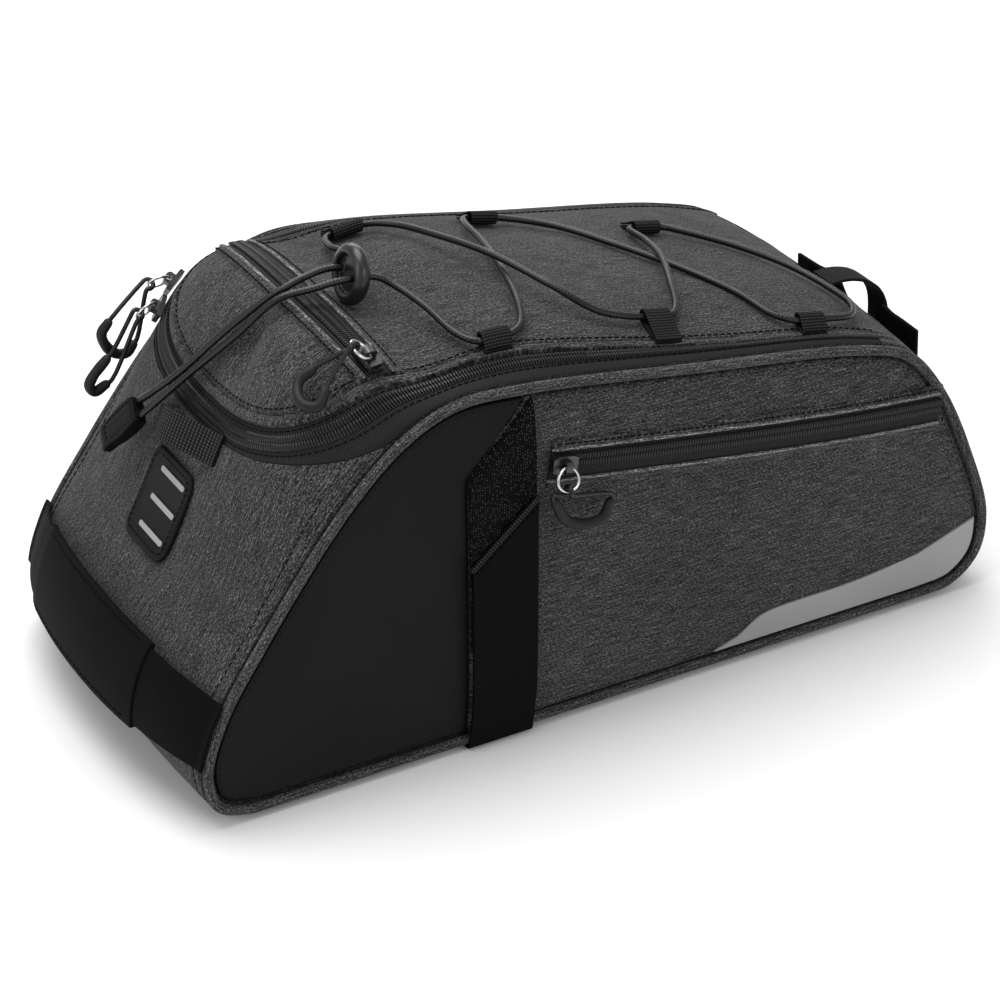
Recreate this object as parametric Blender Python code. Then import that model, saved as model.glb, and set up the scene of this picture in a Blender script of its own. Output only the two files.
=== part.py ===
"""Bicycle trunk bag: a padded cloth tub with a zipped, bungee-laced lid.

Metres, +Z up. +X runs from the tail end (the sloped end with the reflective bars)
to the saddle end, and Y runs across the bag, with the near side at -Y. The origin
is on the ground under the middle of the bag.

Two coordinates describe the strip that wraps round between the two side panels:
"run" is the distance along the side outline, from the tail end of the base up the
tail, over the top and down the saddle end, and "y" is the place across the bag.
"""
import bpy
import bmesh
from math import cos, pi, radians, sin, tau
import numpy as np

# Main form
WIDTH = 0.1710
SIDE_LENGTH = 0.367
SIDE_HEIGHT = 0.1535
WALL = 0.0025
SIDE_PAD = 0.0040
GAP = 0.0003
HALF = WIDTH / 2
# The bag is narrower at the saddle end, by this share of its width
TAPER = 0.140
PIPING_RADIUS = 0.0021
PIPING_OUT = 0.0023
PIPING_INSET = PIPING_RADIUS
PANEL_INSET = 2 * PIPING_RADIUS + 4 * GAP
PANEL_SKIN = 0.0012
WEBBING = 0.0014
# The rack strap passes under the piping and lies on the ground
BASE_LIFT = GAP + WEBBING

# Side outline: name, share of the side length, share of the side height, crown at
# the middle as a share of the width, and fullness (how squarely the crown rises)
OUTLINE = (
    ("base_tail", 0.055, 0.000, 0.000, 2.0),
    ("heel", 0.012, 0.040, 0.012, 2.0),
    ("tail_foot", 0.000, 0.140, 0.035, 2.6),
    ("tail_low", 0.018, 0.290, 0.055, 2.8),
    ("tail_mid", 0.071, 0.490, 0.045, 2.6),
    ("tail_high", 0.166, 0.785, 0.118, 4.4),
    ("lid_corner", 0.233, 0.930, 0.172, 3.8),
    ("lid_front", 0.300, 0.997, 0.062, 2.5),
    ("lid_top", 0.375, 0.994, 0.080, 3.0),
    ("lid_mid", 0.594, 0.919, 0.066, 2.8),
    ("lid_back", 0.802, 0.840, 0.045, 2.8),
    ("saddle_top", 0.872, 0.781, 0.020, 3.0),
    ("saddle_high", 0.9215, 0.646, 0.010, 2.4),
    ("saddle_mid", 0.969, 0.420, 0.011, 2.4),
    ("saddle_low", 0.9985, 0.208, 0.012, 2.2),
    ("toe", 0.991, 0.085, 0.010, 2.0),
    ("toe_base", 0.956, 0.012, 0.000, 2.0),
    ("base_saddle", 0.900, 0.000, 0.000, 2.0),
)
SIDE_CENTRE = (0.50, 0.43)

# Lid and main zip: runs as shares of the girth, half widths as shares of the half width
ZIP_TAIL = 0.1572
LID_TAIL = 0.1690
CORNER_END = 0.2126
LID_HINGE = 0.4740
CORNER_SQUARENESS = 2.5
LID_EDGE = ((0.169, 0.810), (0.213, 0.830), (0.264, 0.830), (0.384, 0.920), (0.474, 0.950))
CREASE = {"run": 0.1940, "y": -0.14, "length": 0.0110, "width": 0.0070, "slant": 35, "depth": 0.0045}
TAPE = 0.0010
COIL_WIDTH = 0.0052
COIL_HEIGHT = 0.0020
ZIP_SEAM = WALL + 4 * GAP

# Pockets: the lid's zip lies across, the side's zip lies along
LID_POCKET_RUN = 0.2180
LID_POCKET_HALF = 0.0670
LID_POCKET_STAND = 0.0008
LID_POCKET_OPEN = 0.0086
SIDE_ZIP = ((0.405, 0.762), (0.55, 0.708), (0.75, 0.640), (0.895, 0.596))
SIDE_POCKET_OPEN = 0.0130
WELT = 0.0032

# Straps and trim
SKIN = 0.0012
PU_NOTCH = (0.785, 0.945)
STRAP_WIDTH = 0.0288
STRAP_PLACE = 0.347
STRAP_TOP = 0.547
STRAP_SLANT = 0.156
STRAP_TURN = 0.0020
# How far the hook webbing stands off the padded side
HOOK_STAND = 0.0012
PATCH_SKIN = 0.0007
PATCH_EDGE = (
    (0.622, 0.013), (0.654, 0.070), (0.677, 0.111), (0.695, 0.125), (0.802, 0.132), (0.898, 0.153), (0.975, 0.205)
)
HANDLE_RUN = 0.0515
HANDLE_HEIGHT = 0.0310
HANDLE_HALF = 0.0520
HANDLE_PLACE = 0.0050
HANDLE_THICK = 0.0030
HANDLE_STAND = (0.0045, 0.0070)
TAIL_PATCH_RUN = 0.1175
TAIL_PATCH_SIZE = (0.037, 0.037)
TAIL_PATCH_STAND = 0.0008
BAR_RUNS = (0.131, 0.118, 0.105)
BAR_PLACE = -0.0035
BAR_SIZE = (0.0215, 0.0022, 0.0005)
LIGHT_LOOP_RUN = 0.1500
LIGHT_LOOP_TURN = -0.16
LIGHT_LOOP_HALF = 0.0260
LIGHT_LOOP_STAND = 0.0105
LOOP_WIDTH = 0.0120
LOOP_SKIN = 0.0008

# Seatpost strap: y, then x and z of its upper edge and of its lower edge, from the
# corner of the lid at the saddle end
SEAT_STRAP_THICK = 0.0016
SEAT_STRAP_SHIFT = -0.0015
SEAT_STRAP = (
    (0.045, 0.0275, -0.0128, 0.0285, -0.0323),
    (0.030, 0.0275, -0.0123, 0.0285, -0.0323),
    (0.015, 0.0280, -0.0118, 0.0293, -0.0323),
    (0.009, 0.0285, -0.0183, 0.0303, -0.0343),
    (0.003, 0.0293, -0.0243, 0.0310, -0.0363),
    (-0.004, 0.0295, -0.0263, 0.0314, -0.0373),
    (-0.011, 0.0293, -0.0253, 0.0312, -0.0363),
    (-0.0155, 0.0290, -0.0133, 0.0300, -0.0333),
    (-0.026, 0.0285, -0.0118, 0.0290, -0.0323),
    (-0.045, 0.0275, -0.0113, 0.0285, -0.0323),
)
SADDLE_LOOP_WIDTH = 0.0140
SADDLE_LOOP_PLACE = -0.0040
SADDLE_LOOP = (
    (0.0075, -0.0007), (0.0135, -0.0003), (0.0195, -0.0011), (0.0255, -0.0033), (0.0315, -0.0078),
    (0.0353, -0.0143), (0.0365, -0.0213), (0.0366, -0.0283), (0.0362, -0.0353), (0.0356, -0.0413),
    (0.0358, -0.0463), (0.0376, -0.0508),
)

# Bungee lacing: run, y and height of the cord in millimetres, from one end to the other
BUNGEE_DIAMETER = 0.0028
LOOP_FOLD = BUNGEE_DIAMETER / 2 + 2 * GAP + LOOP_SKIN
LACED = 1000 * (2 * GAP + LOOP_FOLD)
BUNGEE_ROUTE = (
    (131.3, 30.9, 9), (150, 14.5, 6.5), (175, -3.5, 5.5), (190, -11.5, 7.5), (198, -9.5, 10.8), (203.5, -9, 13.9),
    (213.5, -9, 13.9), (217, 2, 11.2), (217.5, 20, 6.6), (217, 34, 4.2),
    (220.5, 46, LACED), (235.5, 46, LACED), (244, 38, 4), (252, 14, 6.2), (261, -14, 8.4), (273, -44, 7.8),
    (287, -58, 4.4), (304.5, -62, LACED), (319.5, -62, LACED), (325, -56, 3.6), (331, -40, 5), (340, -15, 5.7),
    (345, 6, 4), (346.5, 23, LACED), (361.5, 23, LACED), (370, 16, 3.2), (386, -2, 3.1),
    (399, -22, 3.2), (406, -42, 3.5), (408, -60, 3.8), (402, -70, 3.4), (387.5, -73, LACED), (372.5, -73, LACED),
    (366, -67, 2.8), (359, -46, 2.2), (345, -17, 2.1), (330, 9, 2.5), (315, 31, 2.9),
    (294, 43, LACED), (279, 43, LACED), (274.5, 35, 3.6), (270, 11, 4.2), (263, -22, 4.6), (257, -47, 4),
    (252, -60, 3.1), (245.5, -65.5, LACED), (230.5, -65.5, LACED), (225.5, -58, 3.9), (221.5, -40, 7.2), (217, -25, 11),
    (213.5, -21, 13.9), (203.5, -21, 13.9), (197, -19.5, 10), (188, -16.5, 7.2), (173, -7, 5.5), (148, 11, 6.5),
    (127.8, 25.4, 9),
)
LOOPS_NEAR = ((238, -65.5), (312, -62), (380, -73))
LOOPS_FAR = ((228, 46), (286.5, 43), (354, 23))
LOCK_PLACE = (208.5, -15, 13.9)
LOCK_RADIUS = 0.0120
LOCK_THICK = 0.0070
LOCK_HOLE = 0.0023
PULL_END = ((129, 28.5, 9), (110, 41, 12.5))
PULL_END_WIDTH = 0.0130
PULL_END_THICK = (0.0070, 0.0045)

# Zip pulls: each rubber sleeve's points in millimetres from the slider's seat on its coil
PULL_CORD_DIAMETER = 0.0019
SLEEVE_DIAMETER = 0.0044
BAIL_WIRE = 0.0012
BAIL_RADIUS = 0.0046
SLIDER_SIZE = (0.0110, 0.0075, 0.0020)
BRIDGE = (0.0030, 0.0034, 0.0026)
MAIN_SLIDERS = (69, 53)
MAIN_SLEEVES = (
    ((-31, -2, -9), (-34, -2, -13), (-33, -2, -18), (-29, -2, -23), (-24, -2, -24), (-21, -2, -21)),
    ((-25, 0, -16), (-31, 0, -22), (-33, 0, -26), (-31, 0, -29), (-26, 0, -27)),
)
LID_POCKET_SLEEVE = (
    (-21, 4, -1), (-26, 4, -4), (-29, 0, -7), (-29, -6, -9), (-25, -9, -9), (-21, -7, -5),
)
SIDE_POCKET_SLEEVE = ((-6, -5, -13), (-2, -5, -21), (7, -5, -26), (15, -5, -25), (18, -5, -19))


def smooth_curve(points, fine, closed=False):
    """A centripetal Catmull-Rom curve through the points, with so many steps between each two."""
    points = np.asarray(points, float)
    if closed:
        points = np.vstack([points[-1:], points, points[:2]])
    else:
        first = 2 * points[:1] - points[1:2]
        last = 2 * points[-1:] - points[-2:-1]
        points = np.vstack([first, points, last])
    steps = np.linalg.norm(np.diff(points, axis=0)[:, :3], axis=1) ** 0.5
    slopes = np.diff(points, axis=0) / steps[:, None]
    span = (steps[:-1] + steps[1:])[:, None]
    tangents = slopes[1:] + slopes[:-1] - (points[2:] - points[:-2]) / span
    share = np.linspace(0, 1, fine, endpoint=False)[:, None]
    curve = []
    for index in range(len(tangents) - 1):
        start, end = points[index + 1], points[index + 2]
        leave, arrive = tangents[index] * steps[index + 1], tangents[index + 1] * steps[index + 1]
        curve.append(
            (2 * share**3 - 3 * share**2 + 1) * start + (share**3 - 2 * share**2 + share) * leave
            + (3 * share**2 - 2 * share**3) * end + (share**3 - share**2) * arrive
        )
    if not closed:
        curve.append(points[-2:-1])
    return np.vstack(curve)


def outline_table():
    """The side outline as fine rows of x, z, crown and fullness, with their runs."""
    rows = [
        ((x - 0.5) * SIDE_LENGTH, z * SIDE_HEIGHT + BASE_LIFT, crown * WIDTH, fullness)
        for _, x, z, crown, fullness in OUTLINE
    ]
    fine = smooth_curve(rows, 40, closed=True)
    fine[:, 1:3] = np.maximum(fine[:, 1:3], (BASE_LIFT, 0))
    fine = np.vstack([fine, fine[:1]])
    steps = np.linalg.norm(np.diff(fine[:, :2], axis=0), axis=1)
    return fine, np.concatenate([[0], np.cumsum(steps)])


FINE, RUNS = outline_table()
GIRTH = RUNS[-1]


def outline(run, inset=0.0):
    """x and z on the side outline, moved inward by the inset."""
    run = np.asarray(run, float)
    row = outline_row(run)
    return row[..., :2] - outline_normal(run) * np.asarray(inset)[..., None]


def outline_row(run):
    run = np.mod(np.asarray(run, float), GIRTH)
    return np.stack([np.interp(run, RUNS, FINE[:, k]) for k in range(4)], -1)


def outline_normal(run, reach=0.003):
    ahead = outline_row(np.asarray(run) + reach)[..., :2]
    behind = outline_row(np.asarray(run) - reach)[..., :2]
    along = (ahead - behind) / np.linalg.norm(ahead - behind, axis=-1, keepdims=True)
    return np.stack([-along[..., 1], along[..., 0]], -1)


def narrowing(x):
    """The bag's width at a place along it, as a share of its width at the tail."""
    return 1 - TAPER * (np.asarray(x) / SIDE_LENGTH + 0.5)


def crease(run, y):
    """The soft dent in the lid near its tail, as a depth."""
    turn = radians(CREASE["slant"])
    along_run = run - CREASE["run"] * GIRTH
    across = y - CREASE["y"] * HALF
    along = along_run * cos(turn) + across * sin(turn)
    beside = across * cos(turn) - along_run * sin(turn)
    shape = np.exp(-(along / CREASE["length"]) ** 2 - (beside / CREASE["width"]) ** 2)
    return CREASE["depth"] * shape


def wrap(run, y, height=0.0):
    """A point on the strip that wraps round the bag, the height outside its surface."""
    run, y, height = np.broadcast_arrays(*(np.asarray(v, float) for v in (run, y, height)))
    row, normal = outline_row(run), outline_normal(run)
    across = np.clip(np.abs(y) / HALF, 0, 1)
    crown = row[..., 2] * (1 - across ** row[..., 3])
    offset = crown - crease(run, y) * (1 - across**4) + height
    place = row[..., :2] + normal * offset[..., None]
    return np.stack([place[..., 0], y * narrowing(row[..., 0]), place[..., 1]], -1)


def wrap_axes(run, y, step=0.0008):
    """Unit directions on the strip: along the run, across it, and outward."""
    along = wrap(run + step, y) - wrap(run - step, y)
    across = wrap(run, np.clip(y + step, -HALF, HALF)) - wrap(run, np.clip(y - step, -HALF, HALF))
    out = np.cross(across, along)
    out_2d = outline_normal(run)
    flip = np.sign(out[0] * out_2d[0] + out[2] * out_2d[1])
    unit = [vector / np.linalg.norm(vector) for vector in (along, across, out * flip)]
    return unit


def side_reach(x, z):
    """How far out from the side's centre a point lies, 1 at the outline."""
    centre = np.array([side_x(SIDE_CENTRE[0]), side_z(SIDE_CENTRE[1])])
    rim = FINE[:, :2] - centre
    angles = np.arctan2(rim[:, 1], rim[:, 0])
    order = np.argsort(angles)
    offset_x, offset_z = x - centre[0], z - centre[1]
    rim_radius = np.interp(
        np.arctan2(offset_z, offset_x), angles[order], np.linalg.norm(rim, axis=1)[order], period=tau
    )
    return np.hypot(offset_x, offset_z) / rim_radius


def side(x, z, height=0.0, sign=-1):
    """A point on a padded side panel, the height outside its face."""
    x, z = np.asarray(x, float), np.asarray(z, float)
    reach = np.clip(side_reach(x, z), 0, 1)
    y = HALF * narrowing(x) + PANEL_SKIN + GAP + SIDE_PAD * (1 - reach**5) + height
    return np.stack([x, sign * y, z], -1)


def side_x(share):
    return (share - 0.5) * SIDE_LENGTH


def side_z(share):
    return BASE_LIFT + share * SIDE_HEIGHT


def lid_half(run):
    """Half width of the lid beyond its rounded tail corners."""
    table = np.array(LID_EDGE)
    return HALF * np.interp(np.asarray(run) / GIRTH, table[:, 0], table[:, 1])


def corner(start, angle):
    """Run and share of the half width on a rounded tail corner, from its middle at 0."""
    power = 2 / CORNER_SQUARENESS
    run = CORNER_END - (CORNER_END - start) * np.abs(np.cos(angle)) ** power
    return run * GIRTH, np.sign(angle) * np.abs(np.sin(angle)) ** power


MATERIALS = {}


def material(name, color, roughness, metallic=0.0):
    if name not in MATERIALS:
        made = bpy.data.materials.new(name)
        made.use_nodes = True
        shader = made.node_tree.nodes["Principled BSDF"]
        shader.inputs["Base Color"].default_value = (*color, 1)
        shader.inputs["Roughness"].default_value = roughness
        shader.inputs["Metallic"].default_value = metallic
        MATERIALS[name] = made
    return MATERIALS[name]


def heather():
    return material("heather_cloth", (0.045, 0.045, 0.047), 0.85)


def black_pu():
    return material("black_pu", (0.014, 0.014, 0.015), 0.5)


def black_webbing():
    return material("black_webbing", (0.008, 0.008, 0.009), 0.8)


def zip_black():
    return material("zip_black", (0.018, 0.018, 0.019), 0.6)


def rubber():
    return material("black_rubber", (0.012, 0.012, 0.012), 0.55)


def gloss_plastic():
    return material("gloss_plastic", (0.010, 0.010, 0.011), 0.25)


def nickel():
    return material("nickel", (0.62, 0.62, 0.63), 0.22, 1.0)


def reflective():
    return material("reflective_grey", (0.30, 0.30, 0.31), 0.45)


def add_solid(name, vertices, faces, finish, smooth_angle=40):
    """A closed mesh object with its faces pointing out."""
    mesh = bpy.data.meshes.new(name)
    mesh.from_pydata([tuple(map(float, point)) for point in vertices], [], faces)
    shape = bmesh.new()
    shape.from_mesh(mesh)
    bmesh.ops.remove_doubles(shape, verts=shape.verts, dist=1e-6)
    bmesh.ops.recalc_face_normals(shape, faces=shape.faces)
    if shape.calc_volume(signed=True) < 0:
        bmesh.ops.reverse_faces(shape, faces=shape.faces)
    shape.to_mesh(mesh)
    shape.free()
    mesh.shade_smooth()
    mesh.set_sharp_from_angle(angle=radians(smooth_angle))
    mesh.materials.append(finish)
    made = bpy.data.objects.new(name, mesh)
    bpy.context.scene.collection.objects.link(made)
    return made


def ring_faces(rings, size, closed):
    """Faces between rings of points, with end caps where the sweep is open."""
    faces = []
    count = rings if closed else rings - 1
    for ring in range(count):
        here, there = ring * size, (ring + 1) % rings * size
        for k in range(size):
            nxt = (k + 1) % size
            faces.append((here + k, here + nxt, there + nxt, there + k))
    if not closed:
        faces.append(tuple(range(size)))
        faces.append(tuple(range((rings - 1) * size, rings * size)))
    return faces


def sweep(name, stations, section, finish, closed=False):
    """A bar of one section carried through stations of centre, across and out."""
    vertices = []
    for index, (centre, across, out) in enumerate(stations):
        shape = section(index) if callable(section) else section
        vertices += [centre + across * u + out * v for u, v in shape]
    size = len(vertices) // len(stations)
    return add_solid(name, vertices, ring_faces(len(stations), size, closed), finish)


def flat_section(width, thickness, rise=0.0):
    half = width / 2
    return [(-half, rise), (half, rise), (half, rise + thickness), (-half, rise + thickness)]


def round_section(radius, sides, turn=0.0):
    angles = [tau * k / sides + turn for k in range(sides)]
    return [(radius * cos(angle), radius * sin(angle)) for angle in angles]


def tube_stations(path, closed=False):
    """Centre, across and out along a path, turned as little as the bends allow."""
    path = np.asarray(path, float)
    if closed:
        tangents = np.roll(path, -1, 0) - np.roll(path, 1, 0)
    else:
        tangents = np.gradient(path, axis=0)
    tangents /= np.linalg.norm(tangents, axis=1)[:, None]
    guide = np.array([0.0, 0.0, 1.0]) if abs(tangents[0][2]) < 0.8 else np.array([0.0, 1.0, 0.0])
    stations = []
    for point, tangent in zip(path, tangents):
        guide = guide - tangent * guide.dot(tangent)
        guide = guide / np.linalg.norm(guide)
        stations.append((point, guide, np.cross(tangent, guide)))
    return stations


def sheet(name, outer, inner, finish):
    """A closed solid between two grids of points of the same size."""
    rows, columns = outer.shape[:2]
    vertices = list(outer.reshape(-1, 3)) + list(inner.reshape(-1, 3))
    below = rows * columns

    def at(row, column):
        return row * columns + column

    faces = []
    for row in range(rows - 1):
        for column in range(columns - 1):
            quad = (at(row, column), at(row, column + 1), at(row + 1, column + 1), at(row + 1, column))
            faces.append(quad)
            faces.append(tuple(below + corner_ for corner_ in reversed(quad)))
    rim = [at(0, c) for c in range(columns)] + [at(r, columns - 1) for r in range(1, rows)]
    rim += [at(rows - 1, c) for c in range(columns - 2, -1, -1)] + [at(r, 0) for r in range(rows - 2, 0, -1)]
    for here, there in zip(rim, rim[1:] + rim[:1]):
        faces.append((there, here, below + here, below + there))
    return add_solid(name, vertices, faces, finish)


def disc(name, rims, finish):
    """A closed solid between two stacks of shrinking rims, each ending in one point."""
    vertices, faces = [], []
    bases = []
    for stack in rims:
        base = len(vertices)
        bases.append(base)
        size = len(stack[0])
        for rim in stack[:-1]:
            vertices += list(rim)
        vertices.append(stack[-1])
        for ring in range(len(stack) - 2):
            for k in range(size):
                nxt = (k + 1) % size
                here, there = base + ring * size, base + (ring + 1) * size
                faces.append((here + k, here + nxt, there + nxt, there + k))
        last = base + (len(stack) - 2) * size
        point = base + (len(stack) - 1) * size
        faces += [(last + k, last + (k + 1) % size, point) for k in range(size)]
    size = len(rims[0][0])
    top, under = bases
    faces += [(top + k, top + (k + 1) % size, under + (k + 1) % size, under + k) for k in range(size)]
    return add_solid(name, vertices, faces, finish)


def side_flat(x, z, sign):
    """A point just outside the tub's flat side."""
    x, z = np.asarray(x, float), np.asarray(z, float)
    return np.stack([x, sign * (HALF * narrowing(x) + GAP), z], -1)


def side_skin(name, shape, sign, low, thickness, finish, shares=(1.0, 0.9, 0.7, 0.4)):
    """A piece on a side, from its x and z outline. With no low height it fills the side's padding."""
    shape = np.asarray(shape, float)
    middle = shape.mean(0)
    face = [middle + (shape - middle) * share for share in shares] + [middle]
    top = [side(np.asarray(points)[..., 0], np.asarray(points)[..., 1], thickness, sign) for points in face]
    if low is None:
        under = [side_flat(shape[:, 0], shape[:, 1], sign), side_flat(middle[0], middle[1], sign)]
    else:
        under = [side(np.asarray(points)[..., 0], np.asarray(points)[..., 1], low, sign) for points in face]
    return disc(name, [top, under], finish)


def spaced_runs(start, end, count):
    """Runs between two ends, closer together where the outline bends."""
    fine = np.linspace(start, end, 400)
    normals = outline_normal(fine)
    bend = np.linalg.norm(np.diff(normals, axis=0), axis=1) / np.diff(fine)
    weight = np.concatenate([[0], np.cumsum(1 + 0.03 * bend)])
    return np.interp(np.linspace(0, weight[-1], count + 1), weight, fine)


TAIL_RUNS = spaced_runs(0, ZIP_TAIL * GIRTH, 10)
CORNER_ANGLES = np.linspace(0, pi / 2, 9)
CORNER_RUNS = corner(ZIP_TAIL, CORNER_ANGLES)[0]
TOP_RUNS = spaced_runs(CORNER_END * GIRTH, LID_HINGE * GIRTH, 11)
SADDLE_RUNS = np.insert(spaced_runs(LID_HINGE * GIRTH, GIRTH, 20), 1, LID_HINGE * GIRTH + 0.003)
RIM_RUNS = np.concatenate([TAIL_RUNS[:-1], CORNER_RUNS[:-1], TOP_RUNS[:-1], SADDLE_RUNS[:-1]])
ACROSS = np.array([0, 0.45, 0.75, 0.92, 1.0])


def body_shell():
    """The padded tub: base, tail, saddle end and side walls, open under the lid."""
    vertices, faces = [], []

    def add_grid(grid):
        base = len(vertices)
        rows, columns = grid.shape[:2]
        vertices.extend(grid.reshape(-1, 3))
        for row in range(rows - 1):
            for column in range(columns - 1):
                here = base + row * columns + column
                faces.append((here, here + 1, here + columns + 1, here + columns))

    corner_runs, corner_share = corner(ZIP_TAIL, CORNER_ANGLES)
    tail_runs = np.concatenate([TAIL_RUNS[:-1], corner_runs])
    inner = np.concatenate([np.zeros(len(TAIL_RUNS) - 1), corner_share])
    for sign in (-1, 1):
        tail_y = HALF * (inner[:, None] + (1 - inner[:, None]) * ACROSS)
        add_grid(wrap(tail_runs[:, None], sign * tail_y))
        add_grid(wrap(SADDLE_RUNS[:, None], sign * HALF * ACROSS[None, :]))
        rim = outline(RIM_RUNS)
        middle = np.array([side_x(SIDE_CENTRE[0]), side_z(SIDE_CENTRE[1])])
        base, size = len(vertices), len(RIM_RUNS)
        for share in (1.0, 0.5):
            ring = middle + (rim - middle) * share
            vertices.extend(np.stack([ring[:, 0], sign * HALF * narrowing(ring[:, 0]), ring[:, 1]], -1))
        vertices.append(np.array([middle[0], sign * HALF * narrowing(middle[0]), middle[1]]))
        for k in range(size):
            here, nxt = base + k, base + (k + 1) % size
            faces.append((here, nxt, nxt + size, here + size))
            faces.append((here + size, nxt + size, base + 2 * size))

    mesh = bpy.data.meshes.new("body_shell")
    mesh.from_pydata([tuple(map(float, point)) for point in vertices], [], faces)
    shape = bmesh.new()
    shape.from_mesh(mesh)
    bmesh.ops.remove_doubles(shape, verts=shape.verts, dist=2e-6)
    bmesh.ops.dissolve_degenerate(shape, edges=shape.edges, dist=1e-6)
    bmesh.ops.recalc_face_normals(shape, faces=shape.faces)
    lowest = min(shape.faces, key=lambda face: face.calc_center_median().z)
    if lowest.normal.z > 0:
        bmesh.ops.reverse_faces(shape, faces=shape.faces)
    shape.to_mesh(mesh)
    shape.free()
    mesh.shade_smooth()
    mesh.set_sharp_from_angle(angle=radians(40))
    mesh.materials.append(heather())
    made = bpy.data.objects.new("body_shell", mesh)
    bpy.context.scene.collection.objects.link(made)
    wall = made.modifiers.new("wall", "SOLIDIFY")
    wall.thickness = WALL
    wall.offset = -1
    wall.use_even_offset = True
    return made


def lid():
    """The lid, from its rounded tail edge to the sewn hinge at the saddle end."""
    angles = np.concatenate([-CORNER_ANGLES[:0:-1], CORNER_ANGLES])
    start_runs, share = corner(LID_TAIL, angles)
    end_run = LID_HINGE * GIRTH - 2 * GAP
    along = np.linspace(0, 1, 17)[:, None] ** 1.4
    runs = start_runs + (end_run - start_runs) * along
    y = share * lid_half(runs)
    grids = [wrap(runs, y, height) for height in (0, -WALL)]
    return sheet("lid", *grids, heather())


def zip_line():
    """The main zip's stations: angles round the tail corners, then runs along the sides."""
    side_runs = np.linspace(CORNER_END, LID_HINGE - 0.012, 11)[1:] * GIRTH
    half = [("corner", angle) for angle in CORNER_ANGLES] + [("side", run) for run in side_runs]
    return [(kind, -value, -1) for kind, value in half[:0:-1]] + [(kind, value, 1) for kind, value in half]


def zip_point(kind, value, sign, share, height):
    """A point on the main zip band: share 0 at the tub's edge, 1 at the lid's edge."""
    value = abs(value)
    if kind == "corner":
        low_run, low_y = corner(ZIP_TAIL, value)
        high_run, high_y = corner(LID_TAIL, value)
        low_y, high_y = low_y * (HALF - ZIP_SEAM), high_y * lid_half(high_run)
    else:
        low_run = high_run = value
        low_y, high_y = HALF - ZIP_SEAM, lid_half(value)
    run = low_run + (high_run - low_run) * share
    y = sign * (low_y + (high_y - low_y) * share)
    return wrap(run, y, height - TAPE * 0.6 * share)


def zip_band(name, shares, low, high, finish):
    """A strip of the main zip between two shares of its band."""
    grids = []
    for height in (high, low):
        rows = []
        for kind, value, sign in zip_line():
            width = np.linalg.norm(
                zip_point(kind, value, sign, 0, 0) - zip_point(kind, value, sign, 1, 0)
            )
            edge = GAP / width
            row = [zip_point(kind, value, sign, min(max(share, edge), 1 - edge), height) for share in shares]
            rows.append(row)
        grids.append(np.array(rows))
    return sheet(name, *grids, finish)


def main_zip():
    zip_band("main_zip_tape", (0, 0.3, 0.7, 1), -TAPE, -GAP, zip_black())
    zip_band("main_zip_coil", (0.3, 0.7), 4 * GAP, COIL_HEIGHT, zip_black())


def across_strip(name, run, half, width, low, thickness, finish, count=17):
    """A strip lying across the wrap at one run."""
    ys = np.linspace(-half, half, count)
    grids = [
        np.array([[wrap(run + edge, y, height) for edge in (-width / 2, width / 2)] for y in ys])
        for height in (low + thickness, low)
    ]
    return sheet(name, *grids, finish)


def lid_pocket():
    run = LID_POCKET_RUN * GIRTH
    across_strip("lid_pocket_tape", run, LID_POCKET_HALF, LID_POCKET_OPEN, LID_POCKET_STAND, TAPE * 0.8, zip_black())
    across_strip(
        "lid_pocket_coil", run, LID_POCKET_HALF - 0.001, COIL_WIDTH * 0.85, LID_POCKET_STAND + GAP + TAPE * 0.8,
        COIL_HEIGHT * 0.7, zip_black()
    )
    for name, sign in (("lid_pocket_welt_tail", -1), ("lid_pocket_welt_saddle", 1)):
        place = run + sign * (LID_POCKET_OPEN / 2 + WELT / 2 + GAP)
        across_strip(name, place, LID_POCKET_HALF, WELT, LID_POCKET_STAND, SKIN, heather())


def side_path(points, count):
    """x and z along a smooth line on a side panel, from shares of its length and height."""
    places = [(side_x(x), side_z(z)) for x, z in points]
    places = smooth_curve(places, 12)
    picks = np.linspace(0, len(places) - 1, count).round().astype(int)
    return places[picks]


def side_strip(name, path, edges, low, thickness, finish, sign=-1):
    """A strip along a line on a side panel, between two offsets below and above it."""
    along = np.gradient(path, axis=0)
    along /= np.linalg.norm(along, axis=1)[:, None]
    up = np.stack([-along[:, 1], along[:, 0]], -1)
    grids = []
    for height in (low + thickness, low):
        rows = [path + up * edge for edge in edges]
        grids.append(np.stack([side(row[:, 0], row[:, 1], height, sign) for row in rows], 1))
    return sheet(name, *grids, finish)


def side_pocket():
    path = side_path(SIDE_ZIP, 12)
    base = GAP
    half = SIDE_POCKET_OPEN / 2
    side_strip("side_pocket_tape", path, (-half, half), base, TAPE * 0.8, zip_black())
    coil_low = half * 0.2
    coil = (coil_low - COIL_WIDTH / 2, coil_low + COIL_WIDTH / 2)
    side_strip("side_pocket_coil", path, coil, base + TAPE * 0.8 + GAP, COIL_HEIGHT * 0.8, zip_black())
    side_strip(
        "side_pocket_welt_upper", path, (half + GAP, half + GAP + WELT), base, SKIN * 1.6, heather()
    )
    side_strip(
        "side_pocket_welt_lower", path, (-half - GAP - WELT, -half - GAP), base, SKIN, heather()
    )


def strap_edges():
    middle = side_x(STRAP_PLACE)
    return middle - STRAP_WIDTH / 2, middle + STRAP_WIDTH / 2


def pu_edge():
    """The PU panel's saddle-side edge: up the strap, then slanting to the top."""
    low_x, high_x = strap_edges()
    return np.array([low_x, side_z(PU_NOTCH[0])]), np.array([high_x - 0.003, side_z(PU_NOTCH[1])])


def between(start, end, count):
    start, end = np.array(start), np.array(end)
    return [start + (end - start) * k / count for k in range(count)]


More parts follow.
